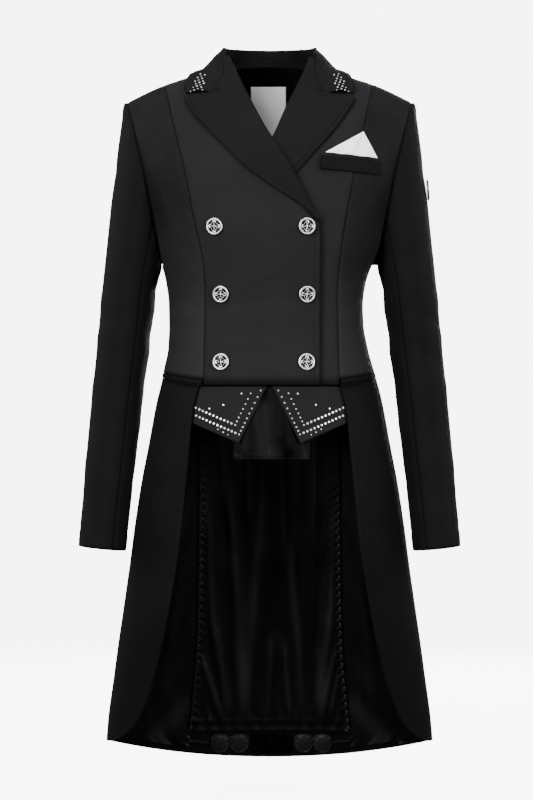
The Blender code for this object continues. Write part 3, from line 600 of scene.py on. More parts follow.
def sideEdge(side, armhole):  # the side seam up to the armpit, and the armhole above it
    def edge(z):
        seam = side * throughKnots(formKnots[0], z) + throughKnots(formKnots[3], z)
        return np.where(z > armpitZ, side * throughKnots(armhole, z), seam)
    return edge


def seamLine(side, knots):
    return lambda z: side * throughKnots(knots, z)


def bandTop(x):
    return throughKnots(bandTopLine, np.abs(x))


def backBandTop(turn):
    return mix(waist["backSide"], waist["backMiddle"], ease((np.abs(turn) - 90) / 80))


def underlap(x, z):  # the left front lies deeper near and below the right front's edge
    edge = throughKnots(rollRight, z)
    slope = throughKnots(princessLeft, z) - edge - 1
    return -underlapDepth * ease((edge + slope - x) / slope)


def bodicePanel(name, fabric, leftX, rightX, lowZ, topZ, lift, seams=(1, 1)):
    back = name.startswith("back")
    u, v = meshAt(bodice["columns"], bodice["rows"])
    u = crowded(u, 0.06, 0.2)
    v = np.interp(v, np.linspace(0, 1, len(bodice["rowShares"])), bodice["rowShares"])
    half = cloth["seamGap"] / 2

    def spot(across, z):
        left, right = turnOf(leftX(z) + half, z, back), turnOf(rightX(z) - half, z, back)
        if back:
            left, right = left % 360, right % 360
        turn = mix(left, right, across)
        return turnX(np.where(turn > 180, turn - 360, turn), z)

    low, top = np.zeros_like(u), np.zeros_like(u)
    for _ in range(8):
        low, top = lowZ(spot(u, low)), topZ(spot(u, top))
    if name.endswith("centre"):  # the hem is turned in under the waist band
        low = np.where(v > 0, waist["frontBand"], low)
    z = mix(low, top, v)
    x = spot(u, z)
    level = lift(x, z)
    wide = reach(onForm(x, z, back), 1)
    fromLeft, fromRight = wide, wide[:, -1:] - wide
    dip = seams[0] * bell(fromLeft, bodice["seamWide"]) + seams[1] * bell(fromRight, bodice["seamWide"])
    level = level - bodice["seamDeep"] * dip + troughs(x, z, bodiceCreases[name])
    points = onForm(x, z, back, level)
    points[-1, :, 1] += half if back else -half
    points = points[:, ::-1] if back else points  # so that faces point outwards
    layCloth(name, points, [cloths[fabric], satins["lining"]], "stretched", ["collar"])


def flush(x, z):
    return np.zeros(np.broadcast(x, z).shape)


bodiceCreases = {  # two ends, half-width and height of each soft fold
    "front_right_centre": [
        (-85, -330, 20, -300, 9, 0.9), (-88, -352, 55, -338, 10, -1.1), (-84, -372, 60, -366, 8, 0.8),
        (-60, -268, 66, -256, 12, -0.9), (-80, -405, 10, -396, 9, 0.6), (-70, -440, 40, -446, 8, -0.6),
        (-78, -205, -40, -262, 10, 0.8),
    ],
    "front_right_side": [
        (-140, -340, -95, -350, 7, -1.2), (-138, -362, -96, -368, 7, 1.0),
        (-146, -300, -104, -322, 9, -1.0), (-150, -262, -118, -290, 9, 0.9),
        (-142, -398, -100, -392, 8, 0.8), (-160, -205, -150, -262, 10, -1.2),
    ],
    "front_left_centre": [
        (72, -345, 92, -352, 8, -0.7), (74, -312, 94, -306, 9, 0.6), (74, -392, 93, -396, 8, 0.6),
        (40, -170, 95, -215, 12, 0.9), (62, -200, 108, -248, 12, -0.8),
    ],
    "front_left_side": [
        (97, -350, 128, -342, 7, -1.2), (97, -368, 130, -364, 7, 0.9), (104, -322, 138, -300, 9, -0.9),
        (116, -290, 150, -258, 9, 0.8), (100, -392, 136, -402, 8, 0.8), (152, -258, 160, -205, 10, -1.2),
    ],
    "back_right": [
        (-125, -340, -20, -360, 12, -1.2), (-120, -372, -15, -380, 11, 1.0),
        (-130, -405, -40, -410, 12, -0.9), (-150, -262, -90, -215, 14, 1.0),
        (-160, -180, -120, -110, 16, -1.3),
    ],
    "back_left": [
        (22, -356, 122, -338, 12, -1.2), (14, -384, 118, -372, 11, 1.0), (45, -414, 128, -403, 12, -0.8),
        (88, -220, 150, -258, 14, 0.9), (118, -105, 160, -185, 16, -1.2),
    ],
}
middleLine = seamLine(0, [(-460, 0), (0, 0)])
bodyHem = lambda x: np.full(np.shape(x), float(waist["bodyHem"]))
backLow = lambda x: backBandTop(turnOf(x, waist["backSide"], True))
backTop = lambda x: np.where(np.abs(x) < 78, throughKnots(neckSeam, np.abs(x)), shoulderZ(x))
princess = {-1: seamLine(-1, princessRight), 1: seamLine(1, princessLeft)}
panels = {  # its cloth, its edges on the picture's left and right, at the bottom and top, and its depth
    "front_right_centre": ("front", princess[-1], seamLine(1, edgeRight), bodyHem, shoulderZ, flush, (1, 0)),
    "front_right_side": ("side", sideEdge(-1, armholeFront), princess[-1], bandTop, shoulderZ, flush),
    "front_left_centre": ("front", seamLine(1, edgeLeft), princess[1], bodyHem, shoulderZ, underlap, (0, 1)),
    "front_left_side": ("side", princess[1], sideEdge(1, armholeFront), bandTop, shoulderZ, flush),
    "back_right": ("coat", sideEdge(-1, armholeBack), middleLine, backLow, backTop, flush),
    "back_left": ("coat", middleLine, sideEdge(1, armholeBack), backLow, backTop, flush),
}
for name, settings in panels.items():
    bodicePanel(name, *settings)
print("bodice laid")


def armholePoint(side, angle, lift=-0.2):  # 0 is the shoulder, 90 the front, 180 the armpit and 270 the back
    down = (1 - math.cos(math.radians(angle))) / 2
    z = mix(shoulderPointZ, armpitZ, down)
    x = float(throughKnots(armholeBack if angle > 180 else armholeFront, z))
    return onForm(side * x, z, angle > 180, lift)


for side, name, frontX in ((-1, "waist_band_right", 91), (1, "waist_band_left", 96)):
    u, v = meshAt(120, 14)
    v = mix(-0.45, 1.45, v)  # both long edges are turned in under their neighbours
    turn = mix(turnOf(frontX, bandTop(frontX)) + 0.3, 180 - 0.1, outward(side, u))
    x = turnX(turn, -450)
    top = np.where(turn < 90, bandTop(x), backBandTop(turn)) - waist["bandGap"]
    z = mix(top - waist["bandHeight"] + waist["bandGap"], top, v)
    crown = 0.5 - 0.45 * np.minimum(np.abs(2 * v - 1), 1) ** 3
    points = atTurn(side * turn, z, np.where(np.abs(v - 0.5) > 0.52, -cloth["thick"] - 0.2, crown))
    layCloth(name, points, [cloths["coat"]], "stretched", ["front_right_side"], round=0.35)
print("waist bands laid")

# Lapels: rows run from the break point up and round the peak to the roll line

lapelOutlines = {
    "lapel_right": [
        (64, -235, -234), (42, -214, -215), (3.7, -189, -185), (-34.6, -160.5, -152), (-77, -117.5, -112),
        (-104, -88, -86), (-117.4, -66, -63), (-96, -60.8, -52), (-74.6, -56, -41), (-67, -42, -29),
        (-61.5, -27, -17), (-62.5, -6, -5),
    ],
    "lapel_left": [
        (34, -172, -158), (54, -149, -140), (74, -127, -120), (87, -112, -106), (98, -97.5, -92),
        (109, -81, -77), (118.4, -65.6, -63), (97, -60.6, -52), (74.6, -56, -41), (67, -42, -29),
        (61.5, -27, -17), (62.5, -6, -5),
    ],
}
lapel = {
    "roll": [(1.9, -0.7), (2.8, 0.5), (2.9, 2.2), (1.6, 4.2)],  # past the roll line, and out
    "shares": [0.05, 0.2, 0.4, 0.6, 0.8, 1.0], "corners": (6, 8), "inset": 6.3, "channel": 0.75,
    "rows": 120, "columns": 72,
}


def lapelLift(share):
    return mix(5.2, cloth["laidGap"] + cloth["collar"] / 2 + 1.3, ease(share * 1.1))


def edgeChannel(points, fromEdge, inset, wide, deep, puff):
    # sinks the cloth under a row of stitches and leaves it a little full between them and the edge
    out = normalsOf(points)
    sink = -deep * bell(fromEdge - inset, wide)
    full = puff * bell(fromEdge - inset / 2, inset / 3)
    return points + out * (sink + full)[..., None]


def lapelNet(name, roll, side, sunk):
    net = []
    for x0, z0, rollZ in lapelOutlines[name]:
        rollX = throughKnots(roll, rollZ)
        ahead = throughKnots(roll, rollZ + 1) - rollX
        past = np.array([1, -ahead]) / math.hypot(1, ahead) * -side
        section = [(rollX + past[0] * away, rollZ + past[1] * away, level) for away, level in lapel["roll"]]
        section += [(mix(rollX, x0, s), mix(rollZ, z0, s), lapelLift(s)) for s in lapel["shares"]]
        line = []
        for x, z, lift in section:
            level = sunk(x, z)
            line.append(onForm(x, z, False, lift * (1 + 0.5 * level / underlapDepth) + level))
        net.append(line)
    return np.array(net)


def makeLapel(name, net, side):
    rows, columns = lapel["rows"], lapel["columns"]
    at = np.linspace(0, len(net) - 1, rows + 1)
    sharp = np.linspace(0, 1, net.shape[1])[None, :, None] ** 4  # only the outer edge has sharp corners
    net = mix(alongNet(net, at), alongNet(net, at, lapel["corners"]), sharp)
    spacing = np.interp(np.linspace(0, 1, columns + 1), [0, 0.22, 0.62, 1], [0, 3.0, 8.2, 9.0])
    points = alongNet(net.swapaxes(0, 1), spacing).swapaxes(0, 1)
    notch = int(rows * lapel["corners"][1] / (len(lapelOutlines[name]) - 1))
    rim = points[:notch, -1]
    fromRim = np.min(np.linalg.norm(points[:, :, None] - rim[None, None, ::2], axis=-1), axis=-1)
    if side < 0:  # faces point outwards where the columns run towards the wearer's left
        points, fromRim = points[:, ::-1], fromRim[:, ::-1]
    out = normalsOf(points)
    points = points + out * cloth["collar"] / 2
    fromRim = np.where(np.arange(rows + 1)[:, None] > notch, 99, fromRim)
    points = edgeChannel(points, fromRim, lapel["inset"], 0.8, lapel["channel"], 0.5)
    layCloth(name, points, [cloths["lapel"]], "folded", ["front_right_centre"], round=0.6)
    path, outs = [], []
    for i in range(2, notch - 7):
        far = fromRim[i] if side > 0 else fromRim[i, ::-1]  # from the roll line to the outer edge
        crossed = np.nonzero(far < lapel["inset"])[0]
        if len(crossed) and crossed[0] > 4:
            j = crossed[0] if side > 0 else columns - crossed[0]
            path.append(points[i, j])
            outs.append(out[i, j])
    sew(path, outs, 3.0, 3.6, 0.17)


lapelNets = {
    "lapel_right": lapelNet("lapel_right", rollRight, -1, lambda x, z: 0.0),
    "lapel_left": lapelNet("lapel_left", rollLeft, 1, lambda x, z: float(underlap(x, z))),
}
makeLapel("lapel_right", lapelNets["lapel_right"], -1)
makeLapel("lapel_left", lapelNets["lapel_left"], 1)
print("lapels folded")

# Collar: stations from the middle of the back to the front end, each with its fold, middle and edge

collarRows = [  # fold x, y, z, the fall's middle x, z, its edge x, z, and 1 behind the shoulder, -1 before it
    (0, 71, 15, 0, -14, 0, -42, 1), (24, 67, 15, 30, -14, 38, -43, 1), (44, 55, 14.5, 56, -15, 78, -43, 1),
    (58, 36, 13.5, 75, -14, 101, -36, 1), (65, 12, 13, 87, -18, 108, -27, 0),
    (65, -6, 9, 84, -32, 115, -40, -1),
    (62.5, -19, 3, 79, -44, 117, -50, -1), (60.5, -31, -3, 74.6, -54.2, 114.5, -58.6, -1),
]
neckSeamX = [(0, 0), (1, 26), (2, 49), (3, 66), (4, 78)]
collar = {"columns": 170, "rows": 60, "inset": 6.3, "channel": 0.5, "standStitches": (9.0, 6.0)}


def collarStation(at):
    foldX, foldY, foldZ, midX, midZ, edgeX, edgeZ, side = [
        float(throughKnots([(k, row[c]) for k, row in enumerate(collarRows)], at)) for c in range(8)
    ]
    fold = np.array([foldX, foldY, foldZ])
    behind = side > 0

    def fall(x, z, lift):
        crest = float(shoulderZ(x))
        near = 1 - min(abs(side), 1)
        return onForm(x, mix(min(z, crest), crest, near**3), behind, lift)

    mid = fall(midX, midZ, 7)
    edge = fall(edgeX, edgeZ, cloth["laidGap"] + cloth["collar"] / 2 + 1.9)
    front = max(0, at - 4) / 3
    seamX = mix(float(throughKnots(neckSeamX, min(at, 4))), 62, front)
    seamZ = float(throughKnots(neckSeam, seamX)) if front == 0 else mix(-14, -4, front)
    seam = onForm(seamX, min(seamZ, float(shoulderZ(seamX))), behind, -cloth["thick"] / 2)
    seam = mix(seam + np.array([0, 0, 1.6]), fold, float(ease(front)) * 0.85)
    out = unit(mid - fold)
    span = np.linalg.norm(seam - fold)
    inward = (seam - fold) / span if span > 1 else -out
    stand = [seam, mix(seam, fold, 0.6) - out * 0.4, fold + inward * 1.0 - out * 1.6]
    up = np.array([0, 0, 1.0])
    turned = [fold + up * 2.2, fold + out * 2.6 - inward * 0.4, mix(fold, mid, 0.5) + up * 1.5]
    return stand + turned + [mid, mix(mid, edge, 0.5), edge]


half = [collarStation(k / 2) for k in range(15)]
mirrored = [[point * np.array([-1, 1, 1]) for point in station] for station in half[:0:-1]]
gorge = {3: 10.9, 4: 10.3, 5: 9.3, 6: 8.0}  # where the collar's end meets the lapel's rows
for stations, last, before, lapelEdge in (
    (half, -1, -2, lapelNets["lapel_left"][:, -1]), (mirrored, 0, 1, lapelNets["lapel_right"][:, -1]),
):
    met = alongNet(lapelEdge, np.array(list(gorge.values())))
    for k, place in zip(gorge, met):
        moved = place - stations[last][k]
        stations[last][k] = place
        stations[before][k] = stations[before][k] + moved * 0.4
net = np.array(mirrored + half).swapaxes(0, 1)  # rows run over the collar's section, columns round the neck
net = alongNet(net, np.interp(np.linspace(0, 1, collar["rows"] + 1), [0, 0.3, 0.75, 1], [0, 4, 7.2, 8]))
points = alongNet(net.swapaxes(0, 1), np.linspace(0, 28, collar["columns"] + 1)).swapaxes(0, 1)
points = points[::-1]  # the fall's edge is the first row, so that faces point outwards
out = normalsOf(points)
points = points + out * cloth["collar"] / 2
fromEdge = reach(points, 0)
nearRim = np.minimum(fromEdge, fromSides(reach(points, 1)) + 200 * (fromEdge > 60))
fromRim = np.where(np.arange(collar["rows"] + 1)[:, None] < collar["rows"] * 0.62, nearRim, 99)
points = edgeChannel(points, fromRim, collar["inset"], 1.3, collar["channel"], 0.4)
layCloth("collar", points, [cloths["lapel"]], "folded", ["back_left", "back_right"], round=0.6)
sewRow(points, out, fromEdge, collar["inset"], 3)
fromSeam = (fromEdge[-1:] - fromEdge)[::-1]
for height in collar["standStitches"]:  # two rows of stitches inside the stand, under its fold
    sewRow(points[::-1], out[::-1], fromSeam, height, collar["columns"] // 3, 2.4, 3.3)

tape = {"low": -9.0, "high": 5.0, "inside": 2.2, "start": 0.21, "columns": 110}
u, v = meshAt(tape["columns"], 10)  # a tape covers the neck seam from inside
along = np.linspace(tape["start"], 1 - tape["start"], tape["columns"] + 1) * collar["columns"]
seam = np.array([points[-1, round(k)] for k in along])
away = seam * np.array([1, 1, 0]) - np.array([0, 18, 0])
seam = seam - unit(away) * tape["inside"]
strip = seam[None] + np.array([0, 0, 1.0]) * mix(tape["low"], tape["high"], v)[..., None]
strip = strip[:, ::-1]
layCloth("neck_tape", strip, [cloths["coat"]], "folded", ["collar"], thick=0.8, round=0.2, solid=False)
print("collar folded")

# Sleeves

linedSleeve = [cloths["coat"], satins["lining"]]
sleeveRows = [  # height, the middle's x, half-width, the middle's y, half-depth
    (-335, 197.2, 37.5, 2, 61), (-410, 205, 36.4, 0, 58), (-480, 213, 35.5, -5, 55),
    (-550, 220, 34.8, -11, 52), (-620, 226.8, 33.7, -18, 49), (-686, 232.8, 33, -24, 46.5),
]
sleeve = {
    "sides": 21, "seam": 7, "slant": 0.1, "gap": 1.0, "head": 3.0, "cuffStitch": 24, "rows": 130,
    "perSide": 6, "rings": (0, 0.1, 0.25, 0.45, 0.7, 1), "tuck": 1.8, "units": (1 / 16, 1), "waves": 5.1,
    "seamRidges": [(-0.75, 0, 2.6)], "cuffRidges": [(0.5, 12, 9), (-0.45, 24, 1.8)],
    "headRidges": [(0.8, 9, 7), (-0.9, 0, 2.2)], "headWave": [(0.35, 12, 12)],
}
sleeveCreases = {  # across is in sides from the outer line, down is the height
    "upper": [
        (-2, -150, 5, -190, 14, -1.1), (0.5, -205, 6, -250, 13, 1.0), (1, -262, 6.5, -300, 12, -1.3),
        (-5, -330, 6, -352, 12, 0.9), (1, -372, 6.8, -352, 10, -1.3), (-1, -395, 6.5, -388, 11, 1.0),
        (2, -425, 6.6, -412, 9, -1.0), (-6, -420, -1, -408, 12, -0.9), (-4, -470, 5, -455, 13, 0.8),
        (1, -520, 6, -506, 11, -0.8), (-5, -560, 2, -575, 13, 0.7), (0, -620, 6, -606, 12, -0.7),
        (-6, -640, 0, -652, 12, 0.6),
    ],
    "under": [
        (8, -330, 13, -322, 9, -1.1), (8, -358, 13, -350, 9, 1.0), (7.5, -385, 12, -392, 9, -1.2),
        (8, -412, 13, -420, 10, 0.9), (7.5, -450, 12, -458, 11, -0.8), (8, -520, 13, -512, 12, 0.7),
        (7.5, -600, 12, -590, 12, -0.6),
    ],
}
sleeveKnots = [[(row[0], row[c]) for row in sleeveRows] for c in (1, 2, 3, 4)]
sleeveAngles = [360 * k / sleeve["sides"] for k in range(sleeve["sides"])]


def sleevePoint(side, angle, z):
    x, wide, y, deep = [float(throughKnots(knots, z)) for knots in sleeveKnots]
    away = math.cos(math.radians(angle)) * wide
    return np.array([side * (x + away), y - math.sin(math.radians(angle)) * deep, z + sleeve["slant"] * away])


def sleeveRing(side, t):
    ring = []
    for angle in sleeveAngles:
        high = (1 + math.cos(math.radians(angle))) / 2
        start = armholePoint(side, angle)
        start[0] += side * (sleeve["gap"] + sleeve["head"] * high**3 + sleeve["gap"] * (1 - high) ** 3)
        end = sleevePoint(side, angle, sleeveRows[0][0])
        span = np.linalg.norm(end - start)
        leave = np.array([side * 0.14, -0.1 * math.sin(math.radians(angle)), -0.9]) * span
        arrive = np.array([side * sleeve["slant"], 0, -1]) * span
        ring.append(between(start, leave, end, arrive, t))
    return ring


for side, name in ((-1, "right"), (1, "left")):
    heights = [mix(sleeveRows[0][0], sleeveRows[-1][0], k / 6) for k in range(1, 7)]
    rings = [sleeveRing(side, t) for t in sleeve["rings"]]
    rings += [[sleevePoint(side, angle, z) for angle in sleeveAngles] for z in heights]
    rings = np.array(rings[::-1])
    count, seam = sleeve["sides"], sleeve["seam"]
    for part, first, last in (("upper", -seam, seam), ("under", seam, count - seam)):
        wanted = np.arange(first - 2, last + 3)
        net = alongNet(rings[:, wanted % count], np.linspace(0, len(rings) - 1, sleeve["rows"] + 1))
        columns = (last - first) * sleeve["perSide"]
        at = mix(float(first), float(last), crowded(np.linspace(0, 1, columns + 1), 0.03, 0.06))
        points = alongNet(net.swapaxes(0, 1), at - (first - 2)).swapaxes(0, 1)
        points, at = points[:, ::side], at[::side]
        across = np.broadcast_to(at, points.shape[:2])
        out = normalsOf(points)
        if np.sum(out[70, columns // 2] * (points[70, columns // 2] - rings[6].mean(0))) < 0:
            points, across, out = points[:, ::-1], across[:, ::-1], -out[:, ::-1]
        up = reach(points, 0)
        level = ridged(fromSides(reach(points, 1)), sleeve["seamRidges"]) + ridged(up, sleeve["cuffRidges"])
        level += troughs(across, points[..., 2], sleeveCreases[part], sleeve["units"])
        head = up[-1:] - up  # the cap is eased in, so it is a little full just past its seam
        level += ridged(head, sleeve["headRidges"])
        level += np.sin(across * sleeve["waves"]) * ridged(head, sleeve["headWave"])
        points = points + out * level[..., None]
        node = f"sleeve_{name}_{part}"
        for end, beside in ((0, 1), (-1, -2)):
            points[:, end] += unit(points[:, beside] - points[:, end]) * cloth["seamGap"] / 2
        under = points[-1] - out[-1] * sleeve["tuck"]  # the seam allowance is turned in under the armhole
        allowance = [mix(points[-1], under, 0.6), under + np.array([-side, 0, 0]) * sleeve["tuck"] * 5]
        whole = np.concatenate([points, allowance])
        layCloth(node, whole, linedSleeve, "stretched", ["front_left_side"], round=0.35)
        sewRow(points, out, up, sleeve["cuffStitch"], 1, 2.4, 3.4)
print("sleeves set in")

# Skirts and tail

cutaway = [
    (-460, 97), (-491, 104.4), (-561, 111.4), (-684, 124), (-789, 141.6), (-860, 158), (-905, 173),
    (-933, 189), (-948, 207), (-954, 221),
]
linedSkirt = [cloths["skirt"], satins["lining"]]
skirt = {
    "tailTurn": 128, "hemFront": -954, "hemBack": -996, "turned": 16,
    "rowShares": [0, 0.008, 0.022, 0.045, 0.08, 0.14, 0.24, 0.38, 0.54, 0.7, 0.85, 1], "units": (1, 10),
    "frontRidges": [(0.5, 5, 4), (-0.4, 11, 2)], "hemRidges": [(0.4, 8, 6), (-0.4, 16, 2.5)],
    "tailRidges": [(-0.7, 0, 3)],
}


def hemZ(turn):
    return mix(skirt["hemFront"], skirt["hemBack"], ease((np.abs(turn) - 74) / 106))


def skirtTop(turn):
    drop = waist["bandHeight"] + waist["bandGap"]
    return np.where(turn > 90, backBandTop(turn), bandTop(turnX(turn, -455))) - drop


def skirtPlace(side, u, v, inset=0.0):
    share = outward(side, u)
    frontZ = mix(cutaway[-1][0] + inset, cutaway[0][0], v)
    frontTurn = turnOf(throughKnots(cutaway, frontZ), frontZ) + inset / 1.5
    turn = mix(frontTurn, skirt["tailTurn"] - 0.1, share)
    z = mix(hemZ(turn) + inset, skirtTop(turn), v)
    return side * turn, mix(frontZ, z, ease(share * 4))


def skirtMesh(columns, rows, top=1.0):  # rows are closer together towards the hem
    u, v = meshAt(columns, rows)
    v = np.interp(v, np.linspace(0, 1, len(skirt["rowShares"])), skirt["rowShares"])
    return u, np.interp(v, [0, 1], [0, top])


skirtCreases = [  # turn round the body, height, turn, height, half-width in degrees, height of the fold
    (86, -480, 84, -700, 5, 0.9), (100, -500, 98, -860, 6, -1.3), (112, -480, 110, -900, 6, 1.2),
    (94, -720, 96, -940, 5, 0.9), (80, -600, 88, -800, 4, -0.8), (122, -520, 120, -960, 4, -0.9),
]
for side, name in ((-1, "skirt_right"), (1, "skirt_left")):
    u, v = skirtMesh(64, 120)
    turn, z = skirtPlace(side, crowded(u, 0.035, 0.09), v)
    base = atTurn(turn, z)
    far, up = reach(base, 1), reach(base, 0)
    fromFront, fromTail = (far, far[:, -1:] - far)[::side]
    level = troughs(np.abs(turn), z, skirtCreases, skirt["units"])
    for distance, ridges in ((fromTail, "tailRidges"), (fromFront, "frontRidges"), (up, "hemRidges")):
        level += ridged(distance, skirt[ridges])
    points = atTurn(turn, z, level)
    layCloth(name, points, linedSkirt, "hung", [name.replace("skirt", "waist_band")])
    sewRow(points, normalsOf(points), up, skirt["turned"], 2, 2.4, 3.6)

u, v = skirtMesh(80, 120)
turn = mix(skirt["tailTurn"] + 0.1, 360 - skirt["tailTurn"] - 0.1, u)
around = np.abs(np.where(turn > 180, turn - 360, turn))
z = mix(hemZ(around), skirtTop(around), v)
points = atTurn(turn, z)
tailFolds = [
    (140, -480, 142, -900, 6, 1.6), (152, -470, 156, -940, 6, -2.0), (166, -480, 168, -960, 6, 1.5),
    (180, -470, 180, -980, 5, -1.6), (193, -480, 190, -950, 6, 1.7), (207, -470, 203, -930, 6, -1.9),
    (220, -490, 218, -900, 6, 1.4),
]
level = troughs(turn, z, tailFolds, skirt["units"])
level += ridged(fromSides(reach(points, 1)), skirt["tailRidges"])
level += ridged(reach(points, 0), skirt["hemRidges"][1:])
points = atTurn(turn, z, level)
layCloth("tail_back", points, linedSkirt, "hung", ["waist_band_left"])
print("skirts and tail hung")

# Lining inside the tail

liningSeam = [(-995, 122), (-930, 114), (-820, 105), (-520, 101), (-440, 101)]
lining = {
    "panelHem": -958, "inset": 9, "deep": -7.0, "lift": -4.0, "top": -462, "gap": 0.5,
    "pucker": 11.5, "puckerDeep": 0.9, "puckerWide": 4, "gather": 21, "hemBand": 15,
    "hemRidges": [(0.5, 7, 5), (-0.6, 15, 1.8)], "hemSheen": [(0.25, 7, 5)], "frontRidges": [(-0.5, 6, 2)],
    "sideSheen": [
        (175, -976, 112, -908, 12, 0.5), (150, -900, 128, -850, 9, 0.2), (118, -960, 90, -975, 7, 0.25),
    ],
}
liningFolds = [  # each soft ridge: its two ends, its half-width and its height towards the front
    (-78, -500, -53, -690, 7, 3.0), (-53, -690, -39, -935, 9, 3.6), (-32, -540, -30, -660, 6, 2.0),
    (-9, -545, -12, -660, 7, 2.8), (-12, -650, -39, -930, 11, 4.0), (19, -540, 22, -705, 5, 2.4),
    (67, -520, 65, -680, 6, 3.0), (30, -675, 51, -935, 8, 3.4), (97, -640, 92, -790, 7, 2.8),
    (92, -780, 72, -938, 8, 3.6), (-92, -640, -83, -815, 7, 2.6), (-83, -800, -60, -938, 7, 3.4),
    (-100, -850, -71, -940, 5, 2.4), (102, -830, 76, -940, 5, 2.6), (104, -870, 90, -935, 4, 2.0),
    (2, -835, -2, -940, 5, 2.4), (23, -835, 30, -940, 5, 2.6), (46, -500, 40, -640, 8, 1.8),
    (-58, -560, -66, -700, 8, -1.6), (78, -700, 70, -850, 10, -1.8), (10, -720, 8, -830, 12, -1.6),
]
u, v = meshAt(130, 170)
z = mix(lining["panelHem"], lining["top"], v)
edge = throughKnots(liningSeam, z) - lining["gap"]
turn = mix(turnOf(edge, z, True), 360 + turnOf(-edge, z, True), u)
base = atTurn(turn, z)
far, up = reach(base, 1), reach(base, 0)
fromSeam = fromSides(far)
side = np.where(u < 0.5, 0.0, 1.9)
pull = np.exp(-fromSeam / lining["puckerWide"])
x = base[..., 0]
fold = troughs(x, z, liningFolds) * ease(fromSeam / 16)
# painted highlights: the crests of the ridges, and a band above the hem, are painted lighter in the satin's
# colour
crests = np.clip(fold / 4.2, 0, 1) ** 1.3 * (0.75 + 0.25 * np.sin(z / 23 + x / 9))
level = lining["deep"] - fold
level += lining["puckerDeep"] * np.sin(2 * math.pi * (z + fromSeam * 0.6) / lining["pucker"] + side) * pull
level += (0.2 * np.sin(x / 4.1 + z / 90) + 0.12 * np.sin(x / 2.3 - z / 55)) * ease(fromSeam / 14)
near = bell(up - lining["hemBand"], 16)
level += 0.9 * np.sin(2 * math.pi * far / lining["gather"] + 0.7 * np.sin(far / 31)) * near
level += ridged(up, lining["hemRidges"])
crests += ridged(up, lining["hemSheen"]) * (0.6 + 0.4 * np.sin(far / 3.1))
crests = np.clip(crests, 0, 1)
points = atTurn(turn, z, level)
satinPiece = {"slot": "satin", "thick": cloth["lining"]}
folded = [satins["folded"]]
layCloth("lining_centre", points, folded, "gathered", ["tail_back"], **satinPiece, round=0.3, paintedSheen=crests)

twist = {"half": 3.2, "lift": -6.2, "high": 2.2, "twist": 0.9, "bottom": -953.0, "top": -470.0}
for side, name in ((-1, "lining_side_right"), (1, "lining_side_left")):
    u, v = skirtMesh(76, 150, 0.992)
    frontTurn, frontZ = skirtPlace(side, np.full_like(u, outward(side, 0)), v, lining["inset"])
    share = outward(side, u)
    farZ = mix(hemZ(110) + lining["inset"], lining["top"], v)
    farTurn = turnOf(throughKnots(liningSeam, farZ) + lining["gap"], farZ, True)
    turn = mix(np.abs(frontTurn), farTurn, share)
    z = mix(hemZ(turn) + lining["inset"], lining["top"], v)
    z = mix(frontZ, z, ease(share * 4))
    base = atTurn(side * turn, z)
    far = reach(base, 1)
    fromFront, fromSeam = (far, far[:, -1:] - far)[::side]
    pull = np.exp(-fromSeam / (lining["puckerWide"] * 1.2))
    pucker = lining["puckerDeep"] * 0.8 * np.sin(2 * math.pi * (z - fromSeam * 0.9) / lining["pucker"]) * pull
    level = lining["lift"] + pucker
    drape = 0.8 * np.sin(fromFront / 9 + z / 60) + 0.5 * np.sin(fromFront / 4.3 - z / 37)
    level = level + drape * ease(fromFront / 25) * ease(fromSeam / 25)
    level += ridged(fromFront, lining["frontRidges"])
    points = atTurn(side * turn, z, level)
    # painted highlight: sheen on the lower corners is painted into the satin's colour
    sheen = 0.02 + np.clip(troughs(base[..., 0] * side, z, lining["sideSheen"]), 0, 1)
    skirtName = name.replace("lining_side", "skirt")
    layCloth(name, points, folded, "hung", [skirtName], **satinPiece, round=0.3, paintedSheen=sheen)
    # the seam between the two is drawn up tight, so that it twists like a cord
    u, v = meshAt(12, 300)
    z = mix(twist["bottom"], twist["top"], v)
    across = (2 * u - 1) * twist["half"]
    x = side * (throughKnots(liningSeam, z)) + across
    wave = np.cos(2 * math.pi * z / lining["pucker"] + across * side * 0.75)
    crown = np.sqrt(np.clip(1 - (across / twist["half"]) ** 2, 0, 1))
    level = twist["lift"] - crown * (twist["high"] + twist["twist"] * wave)
    # painted highlight: the cord's crown is painted lighter where its twist turns towards the light
    sheen = 0.08 + 0.34 * crown * (0.5 + 0.5 * wave) ** 2
    seamName, points = name.replace("side", "seam"), onForm(x, z, True, level)
    layCloth(seamName, points, folded, "gathered", ["lining_centre"], "satin", 0.8, 0, sheen, False)
print("lining hung")

# Points under the waist, and the satin flap behind them

